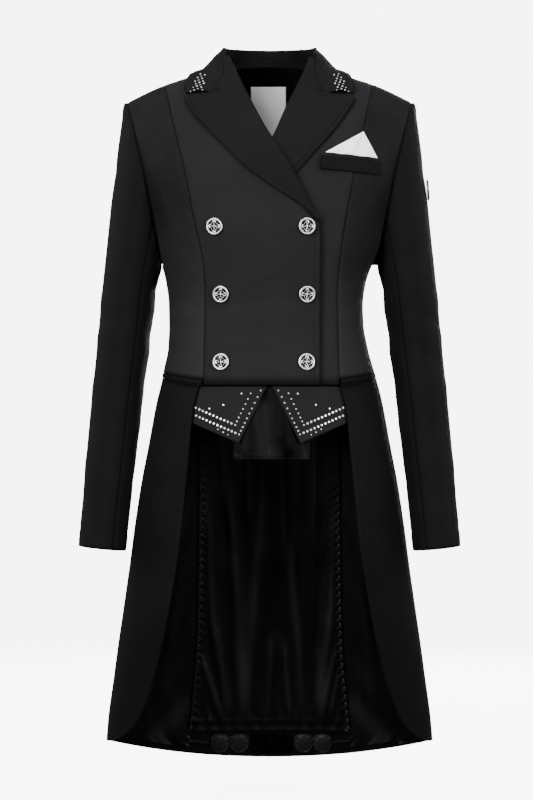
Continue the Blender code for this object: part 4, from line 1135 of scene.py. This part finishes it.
pointCorners = {
    "innerTop": (3, -460.5), "tip": (42.5, -540), "outerLow": (109, -511.8), "outerTop": (109, -460.5),
}
point = {
    "lift": -5.2, "wide": 90, "high": 70,
    "stoneLift": 0.35, "pitch": 5.5, "rows": [(5.5, 12.0), (16.2, 21.8)],
    "singles": [
        (39, -471, 2.7), (64.4, -486.5, 2.4), (84, -491.5, 2.4), (64.5, -524, 1.9), (72, -520, 1.6),
        (58, -527.5, 1.6),
    ],
    "lowRidges": [(0.5, 3, 2.5), (-0.35, 0, 1.2)], "innerRidges": [(0.5, 3, 2.5)],
    "outerStone": 106, "topStone": -464,
}
flap = {
    "lift": -10.5, "left": -51, "right": 57, "bottom": -561, "top": -461.5, "high": 100,
    "ridges": [
        (-6, -470, 2, -558, 9, 3.6), (24, -480, 27, -560, 8, -4.0), (-30, -500, -34, -560, 9, -1.8),
        (44, -500, 50, -560, 6, 3.0), (12, -465, 14, -540, 6, -1.5),
    ],
    "sheen": [
        (-8, -470, -4, -562, 11, 0.62), (24, -465, 28, -562, 7, -0.5), (48, -515, 50, -560, 3, 0.4),
        (-36, -500, -40, -562, 8, 0.12), (-51, -559, 57, -559, 1.6, 0.5), (-51, -556, -38, -558, 3, 0.5),
    ],
    "hemRidges": [(-0.8, 1.5, 1.6), (0.6, 4.5, 1.2)],
}
stones = []


def flatPlace(corners, u, v):
    (ax, az), (bx, bz), (cx, cz), (dx, dz) = corners
    low, lowZ, top, topZ = mix(ax, bx, u), mix(az, bz, u), mix(dx, cx, u), mix(dz, cz, u)
    return mix(low, top, v), mix(lowZ, topZ, v)


def facingAt(x, z, back=False):
    return unit(onForm(x, z, back, 1.0) - onForm(x, z, back, 0.0))


def addStone(side, x, z, size):
    lift = point["lift"] + point["stoneLift"]
    stones.append((onForm(side * x, z, False, lift), facingAt(side * x, z), (side, 0, 0), size))


for side, name in ((-1, "point_right"), (1, "point_left")):
    c = {key: (side * x, z) for key, (x, z) in pointCorners.items()}
    order = ["tip", "outerLow"][::side] + ["outerTop", "innerTop"][::side]
    u, v = meshAt(54, 40)
    x, z = flatPlace([c[key] for key in order], u, v)
    inward, up = outward(side, u) * point["wide"], v * point["high"]
    level = point["lift"] + ridged(up, point["lowRidges"]) + ridged(inward, point["innerRidges"])
    points = onForm(x, z, False, level)
    layCloth(name, points, [cloths["point"]], "hung", ["front_right_centre"], round=0.5)

    # two rows of stones follow the inner edge and turn near the tip to follow the lower edge
    tip, top, low = [np.array(pointCorners[key], float) for key in ("tip", "innerTop", "outerLow")]
    rise, run = unit(top - tip), unit(low - tip)
    apart = abs(rise[0] * run[1] - rise[1] * run[0])
    for fromInner, fromLow in point["rows"]:
        corner = tip + rise * fromLow / apart + run * fromInner / apart
        for way, first, spread, size in ((rise, 0, 1.075, 2.7), (run, 1, 1.0, 3.2)):
            place, gap = corner + way * point["pitch"] * first, point["pitch"]
            while place[0] < point["outerStone"] and place[1] < point["topStone"]:
                near = 1.0 if way is run else max(0.8, 1.15 - 0.05 * gap)
                addStone(side, *place, size * near)
                place, gap = place + way * gap, gap * spread
    for x, z, size in point["singles"]:
        addStone(side, x, z, size)

u, v, x, z = boxMesh(flap, 80, 50)
level = flap["lift"] - troughs(x, z, flap["ridges"]) - 0.5 * np.sin(u * 31 + 3 * v) * mix(1, 0.4, v)
level += ridged(v * flap["high"], flap["hemRidges"])
# painted highlights and shade: a broad sheen, a bright line along the hem and a dark fold are painted into
# the flap's colour
sheen = np.clip(0.16 + troughs(x, z, flap["sheen"]) - 0.08 * np.sin(u * 31 + 3 * v), 0, 1)
points = onForm(x, z, False, level)
layCloth("inner_flap", points, [satins["flap"]], "hung", ["point_left"], **satinPiece, round=0.4, paintedSheen=sheen)
print("points and flap hung")

# Breast pocket

welt = {
    "corners": [(68, -165), (150.5, -171.5), (150, -152), (70.5, -146)], "inset": 2.2,
    "endRidges": [(-0.35, 2.2, 0.9), (-0.2, 0, 1.0)],
}
square = {"left": (76, -142), "apex": (128, -112.5), "right": (147, -148)}
u, v = meshAt(80, 26)
x, z = flatPlace(welt["corners"], u, v)
fromEnd = np.minimum(u, 1 - u) * 80
crown = cloth["laidGap"] + cloth["thick"] + 0.25 - 0.5 * np.abs(2 * v - 1) ** 4
crown += ridged(fromEnd, welt["endRidges"])
points = onForm(x, z, False, crown)
layCloth("pocket_welt", points, [cloths["coat"]], "folded", ["front_left_side"], round=0.6)
far = reach(points, 1)
for across, facingX in ((welt["inset"], 75), (far[:, -1].min() - welt["inset"], 145)):
    line = rowAt(points.swapaxes(0, 1), far.T, across)
    sew(line, np.repeat([facingAt(facingX, -158)], len(line), 0), 2.0, 2.8)

u, v = meshAt(60, 40)
near = mix(np.array(square["apex"]), np.array(square["left"]), 0.03)
x, z = flatPlace([square["left"], square["right"], square["apex"], tuple(near)], u, v)
level = 1.9 + cloth["lining"] + 0.6 * np.sin(5.2 * math.pi * u) * (1 - v)
facets = [
    (100, -148, 127, -114, 5, 0.9), (118, -150, 128, -116, 4, -0.8), (134, -150, 129, -120, 4, 0.9),
    (88, -146, 116, -121, 4, -0.5),
]
level += troughs(x, z, facets)
level += 0.35 * bell((1 - v) * 34, 3)
points, thin = onForm(x, z, False, level), cloth["lining"]
layCloth("pocket_square", points, [whiteCotton], "folded", ["pocket_welt"], "white_cotton", thin, 0.4)
print("pocket made")

# Turned and cast pieces. Each is modelled in millimetres about the origin and faces +Z.


def turnedShape(profile, sides):  # a circle is extruded ring by ring along the profile
    thing = added(bpy.ops.mesh.primitive_circle_add, vertices=sides, radius=profile[0][0], fill_type="NGON")
    bpy.ops.object.mode_set(mode="EDIT")
    bpy.ops.mesh.select_all(action="SELECT")
    for (radius, height), (wider, higher) in zip(profile, profile[1:]):
        bpy.ops.mesh.extrude_region_move(TRANSFORM_OT_translate={"value": (0, 0, higher - height)})
        bpy.ops.transform.resize(value=(wider / radius, wider / radius, 1))
    bpy.ops.mesh.select_all(action="SELECT")
    bpy.ops.mesh.normals_make_consistent(inside=False)
    bpy.ops.object.mode_set(mode="OBJECT")
    return thing


def joined(things):
    only(things[0])
    for thing in things:
        thing.select_set(True)
    bpy.ops.object.join()
    return bpy.context.object


def spunCopies(thing, count, start=0.0):  # copies round the middle, each with its own mesh
    copies = []
    for k in range(count):
        copy = thing.copy()
        copy.data = thing.data.copy()
        bpy.context.scene.collection.objects.link(copy)
        copy.data.transform(Matrix.Rotation(start + 2 * math.pi * k / count, 4, "Z"))
        copies.append(copy)
    bpy.data.objects.remove(thing)
    return copies


def ringShape(wide, wire, segments=24):
    return added(
        bpy.ops.mesh.primitive_torus_add, major_radius=wide, minor_radius=wire, major_segments=segments,
        minor_segments=8, generate_uvs=False,
    )


button = {
    "profile": [
        (10.2, 0), (11.5, 0.9), (11.7, 1.7), (11.5, 2.6), (10.8, 3.2), (10.0, 3.3), (9.2, 3.0), (8.7, 2.3),
        (8.5, 1.2),
    ],
    "sides": 56, "arm": 4.9, "loop": 1.7, "wire": 0.72, "stretch": 1.5, "height": 2.0, "dome": 1.8,
    "bead": 0.75, "beadOut": 5.4,
    "places": {
        "top_right": (-74.5, -243), "top_left": (50.7, -243), "middle_right": (-66, -335),
        "middle_left": (50.7, -335), "bottom_right": (-66, -428), "bottom_left": (50.3, -428),
    },
}


def flatBall(segments, radius, x, z, flat):
    add = bpy.ops.mesh.primitive_uv_sphere_add
    ball = added(add, segments=segments, ring_count=segments // 2, radius=radius, location=(0, 0, 0))
    ball.data.transform(Matrix.Translation((x, 0, z)) @ Matrix.Scale(flat, 4, (0, 0, 1)))
    return ball


def buttonShape():
    base = turnedShape(button["profile"], button["sides"])
    base.data.materials.append(metals["buttonSilver"])
    base.data.materials.append(metals["buttonRecess"])
    parts = [base]
    loop = ringShape(button["loop"], button["wire"])
    bpy.ops.object.mode_set(mode="EDIT")
    bpy.ops.transform.resize(value=(button["stretch"], 1, 1))
    bpy.ops.transform.translate(value=(button["arm"], 0, button["height"]))
    bpy.ops.object.mode_set(mode="OBJECT")
    for vertex in loop.data.vertices:  # each loop narrows towards the middle, like a petal
        vertex.co.y *= mix(0.45, 1.25, float(ease((vertex.co.x - 1.8) / 5.2)))
    parts += spunCopies(loop, 4)
    bead = flatBall(12, button["bead"], button["beadOut"], button["height"] - 0.1, 0.75)
    parts += spunCopies(bead, 4, math.pi / 4)
    parts.append(flatBall(20, button["dome"], 0, button["height"] - 0.5, 0.7))
    whole = joined(parts)
    for face in whole.data.polygons:  # only the floor inside the rim is dark
        face.material_index = int(face.normal.z > 0.9 and face.center.length < 2 and face.center.z < 1.3)
    return whole


silver = [metals["buttonSilver"], metals["buttonRecess"]]
for name, (x, z) in button["places"].items():
    node = f"button_{name}"
    spot = (onForm(x, z, False, 1.4), facingAt(x, z), (1, 0, 0), 1.0)
    made = scatter(f"{node}_cast", buttonShape(), [spot], silver)
    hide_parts(node)
print("buttons made")

badge = {
    "profile": [
        (14.2, 0), (14.8, 0.6), (15.0, 1.4), (14.6, 2.2), (13.6, 2.7), (12.6, 2.3), (10, 2.5), (5, 2.8),
        (1, 2.9),
    ],
    "sides": 64, "down": 0.47, "facing": (1, 0, 0.08), "lift": 1.2,
    "ring": 11.3, "wire": 0.45, "ringHeight": 2.45,
}
facing = np.array(badge["facing"]) / math.hypot(*badge["facing"])
shape = joined([turnedShape(badge["profile"], badge["sides"]), ringShape(badge["ring"], badge["wire"], 56)])
for vertex in shape.data.vertices:
    if abs(math.hypot(vertex.co.x, vertex.co.y) - badge["ring"]) < 0.5 and abs(vertex.co.z) < 0.5:
        vertex.co.z += badge["ringHeight"]
spot = (sleeveRing(1, badge["down"])[0] + facing * badge["lift"], facing, (0, 1, 0), 1.0)
made = scatter("arm_badge_cast", shape, [spot], [metals["badgeSilver"]])
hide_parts("arm_badge")

# Neck label and its tab: plain ribbon, sewn round the edge

label = {"left": -26.5, "right": 23.5, "top": -33, "bottom": -105, "lift": -3.1, "thick": 1.0}
tab = {"left": -5.5, "right": 7, "top": -106, "bottom": -115, "lift": -3.1, "thick": 1.0}
for name, box in (("neck_label", label), ("label_tab", tab)):
    u, v, x, z = boxMesh(box, 60, 80)
    wide, high = box["right"] - box["left"], box["top"] - box["bottom"]
    rim = np.minimum(np.minimum(u, 1 - u) * wide, np.minimum(v, 1 - v) * high)
    level = box["lift"] - 0.15 * np.sin(u * 9 + v * 4) + 0.3 * bell(rim, 1.2)
    points = onForm(x, z, True, level)
    layCloth(name, points, [labelRibbon], "laid", ["back_left"], "label", box["thick"], 0.25)
    line = np.concatenate([points[2:78, 1], points[-3, 2:58], points[77:2:-1, -2]])  # up, across and down
    sew(line, np.repeat([[0, -1, 0]], len(line), 0), 2.0, 2.8)

# Tail hem: four round weights in satin pouches, and pleats between them

pouches = {"outer_right": -72, "inner_right": -44, "inner_left": 50, "outer_left": 77.5}
pouchProfile = [
    (12.2, 0), (13.4, 0.5), (13.6, 1.2), (13.1, 2.0), (12.2, 2.4), (11.4, 2.0), (10.2, 2.35), (6.5, 2.9),
    (2, 3.05),
]
for name, x in pouches.items():
    node = f"hem_weight_{name}"
    shape = turnedShape(pouchProfile, 48)
    for vertex in shape.data.vertices:
        radius = math.hypot(vertex.co.x, vertex.co.y)
        angle = math.atan2(vertex.co.y, vertex.co.x)
        vertex.co.z += 0.22 * math.sin(angle * 9 + x) * (radius > 9) * (vertex.co.z > 0.8)
        if vertex.co.y > 0:  # a pouch is square where it is sewn on at its top
            vertex.co.x *= 1 + 0.9 * (vertex.co.y / 13.6) ** 2 * (1 - (vertex.co.y / 13.9) ** 2) ** 0.5
            vertex.co.x = max(-13.2, min(13.2, vertex.co.x))
    centre = onForm(x, -976, True, -cloth["thick"] - cloth["laidGap"])
    spot = (centre, -facingAt(x, -976, True), (1, 0, 0), 1.04)
    made = scatter(f"{node}_pouch", shape, [spot], [satins["pouch"]])
    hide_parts(node)

pleats = {"left": -27, "right": 33, "top": -961, "bottom": -990, "count": 5, "depth": 2.2}
u, v, x, z = boxMesh(pleats, 120, 20)
wave = (1 - np.cos(2 * math.pi * pleats["count"] * u + 0.7 * np.sin(2 * math.pi * u))) / 2
level = -cloth["thick"] - 0.6 - pleats["depth"] * wave ** 0.8
level = level - 0.4 * np.sin(v * 7 + u * 11) * wave - cloth["lining"]
points = onForm(x, z, True, level)
layCloth("tail_pleats", points, [satins["flap"]], "gathered", ["tail_back"], **satinPiece, round=0.3)
print("label and tail hem made")

# Crystals on the collar's ends and on the points


def stoneShape():  # a cut stone one millimetre across, in a low setting
    thing = added(bpy.ops.mesh.primitive_cylinder_add, vertices=8, radius=0.5, depth=0.3, location=(0, 0, 0))
    bpy.ops.object.mode_set(mode="EDIT")
    bpy.ops.mesh.select_all(action="DESELECT")
    bpy.ops.object.mode_set(mode="OBJECT")
    for face in thing.data.polygons:
        face.select = face.normal.z > 0.9
    bpy.ops.object.mode_set(mode="EDIT")
    bpy.ops.mesh.inset(thickness=0.17)
    bpy.ops.transform.translate(value=(0, 0, 0.17))
    bpy.ops.object.mode_set(mode="OBJECT")
    return thing


collarStones = {  # a leaning lattice on each end of the collar
    "start": (-86.0, -23.0), "down": (1.4, -3.9), "out": (-5.0, -1.9), "counts": (9, 11), "sizes": (2.3, 1.7),
    "low": -55.5, "high": -25.0, "inner": -89.0, "outer": (-98.0, -111.5),
}
collarSurface = bpy.data.objects["collar_shell"]
low, high = collarStones["low"], collarStones["high"]
steps = list(zip(collarStones["start"], collarStones["out"], collarStones["down"]))
for side in (-1, 1):
    for i in range(collarStones["counts"][0]):
        for j in range(collarStones["counts"][1]):
            x, z = [start + out * i + down * j for start, out, down in steps]
            outer = mix(*collarStones["outer"], (z - high) / (low - high))
            if not (low < z < high and outer < x < collarStones["inner"]):
                continue
            start = Vector((x * -side * mm, -0.4, z * mm))
            hit, spot, out, _ = collarSurface.ray_cast(start, Vector((0, 1, 0)))
            if hit and spot.y < 0.03:
                size = collarStones["sizes"][(i + j) % 2]
                stones.append((np.array(spot) / mm + np.array(out) * 0.1, np.array(out), (1, 0, 0), size))
scatter("crystals", stoneShape(), stones, [clearStone], 15)
print("crystals set:", len(stones))

# Stitches along the right front's edge and above its hem, and all the stitches in one piece


def bodyStitches(knots):
    knots = np.array(knots, float)
    far = np.r_[0, np.cumsum(np.hypot(*np.diff(knots, axis=0).T))]
    at = np.linspace(0, far[-1], int(far[-1] / 3) + 2)
    x, z = np.interp(at, far, knots[:, 0]), np.interp(at, far, knots[:, 1])
    line = onForm(x, z)
    outs = onForm(x, z, False, 1.0) - line
    sew(line + outs * 0.1, outs)


bodyStitches([(61.5, -456), (61.5, -300), (61, -245)])
bodyStitches([(-88, -454), (61, -454)])
scatter("seam_stitches", stitchShape(), stitching, [blackThread])
print("stitches sewn:", len(stitching))

# Camera, light and floor

view = {"place": (-0.0042, -4.5, -0.48), "height": 1.12, "sensor": 36.0}
camera = bpy.data.cameras.new("camera")
camera.sensor_width = view["sensor"]
camera.lens = view["sensor"] * -view["place"][1] / view["height"]
camera.sensor_fit = "AUTO"
eye = bpy.data.objects.new("camera", camera)
bpy.context.scene.collection.objects.link(eye)
eye.location = view["place"]
eye.rotation_euler = (math.pi / 2, 0, 0)
bpy.context.scene.camera = eye

lights = {  # place, what it faces, its size, its power
    "key": ((-1.3, -2.7, 0.9), (0, 0, -0.2), (1.4, 1.2), 120),
    "lowRight": ((-1.45, -2.0, -0.3), (0, 0, -0.3), (0.9, 0.9), 38),
    "lowLeft": ((1.5, -2.0, -0.3), (0, 0, -0.3), (0.9, 0.9), 38),
    "fill": ((1.9, -2.4, 0.7), (0, 0, -0.2), (1.2, 1.4), 56),
    "top": ((0, -0.5, 1.5), (0, 0, -0.1), (1.6, 1.0), 26),
    "back": ((0.6, 2.6, 0.3), (0, 0, -0.35), (1.6, 1.6), 95),
    "rimLeft": ((2.1, 0.9, 0.3), (0, 0, -0.3), (0.7, 1.7), 34),
    "rimRight": ((-2.1, 0.9, 0.3), (0, 0, -0.3), (0.7, 1.7), 34),
}
for name, (place, aim, size, power) in lights.items():
    lamp = bpy.data.lights.new(name, "AREA")
    lamp.shape, lamp.size, lamp.size_y, lamp.energy = "RECTANGLE", size[0], size[1], power
    holder = bpy.data.objects.new(name, lamp)
    bpy.context.scene.collection.objects.link(holder)
    holder.location = place
    holder.rotation_euler = (Vector(aim) - Vector(place)).to_track_quat("-Z", "Y").to_euler()

backdrop = {"seen": 7.0, "light": 0.16, "paper": 6.6, "wide": 9, "floor": -1.06}
world = bpy.data.worlds.new("studio")
world.use_nodes = True
sky = world.node_tree
path = sky.nodes.new("ShaderNodeLightPath")
strength = sky.nodes.new("ShaderNodeMix")
strength.inputs[2].default_value, strength.inputs[3].default_value = backdrop["light"], backdrop["seen"]
sky.links.new(path.outputs["Is Camera Ray"], strength.inputs[0])
sky.links.new(strength.outputs[0], sky.nodes["Background"].inputs["Strength"])
sky.nodes["Background"].inputs["Color"].default_value = (1, 1, 1, 1)
bpy.context.scene.world = world

floor = added(bpy.ops.mesh.primitive_plane_add, size=backdrop["wide"], location=(0, 0, 0))
bpy.ops.object.mode_set(mode="EDIT")
bpy.ops.transform.translate(value=(0, 0, backdrop["floor"]))
bpy.ops.object.mode_set(mode="OBJECT")
floor.name = "floor"
paper = Finish("paper", Emission_Strength=backdrop["paper"])
paper.shader.inputs["Emission Color"].default_value = (1, 1, 1, 1)
paper.feed(
    Base_Color=paper.blendColours(paper.noise(3), (0.86, 0.86, 0.86), (0.9, 0.9, 0.9)),
    Roughness=0.9 + paper.noise(40) * 0.05,
)
floor.data.materials.append(paper.material)
floor.visible_diffuse = floor.visible_glossy = False  # the paper is seen, and throws no light up at the cloth
print("camera and light set")
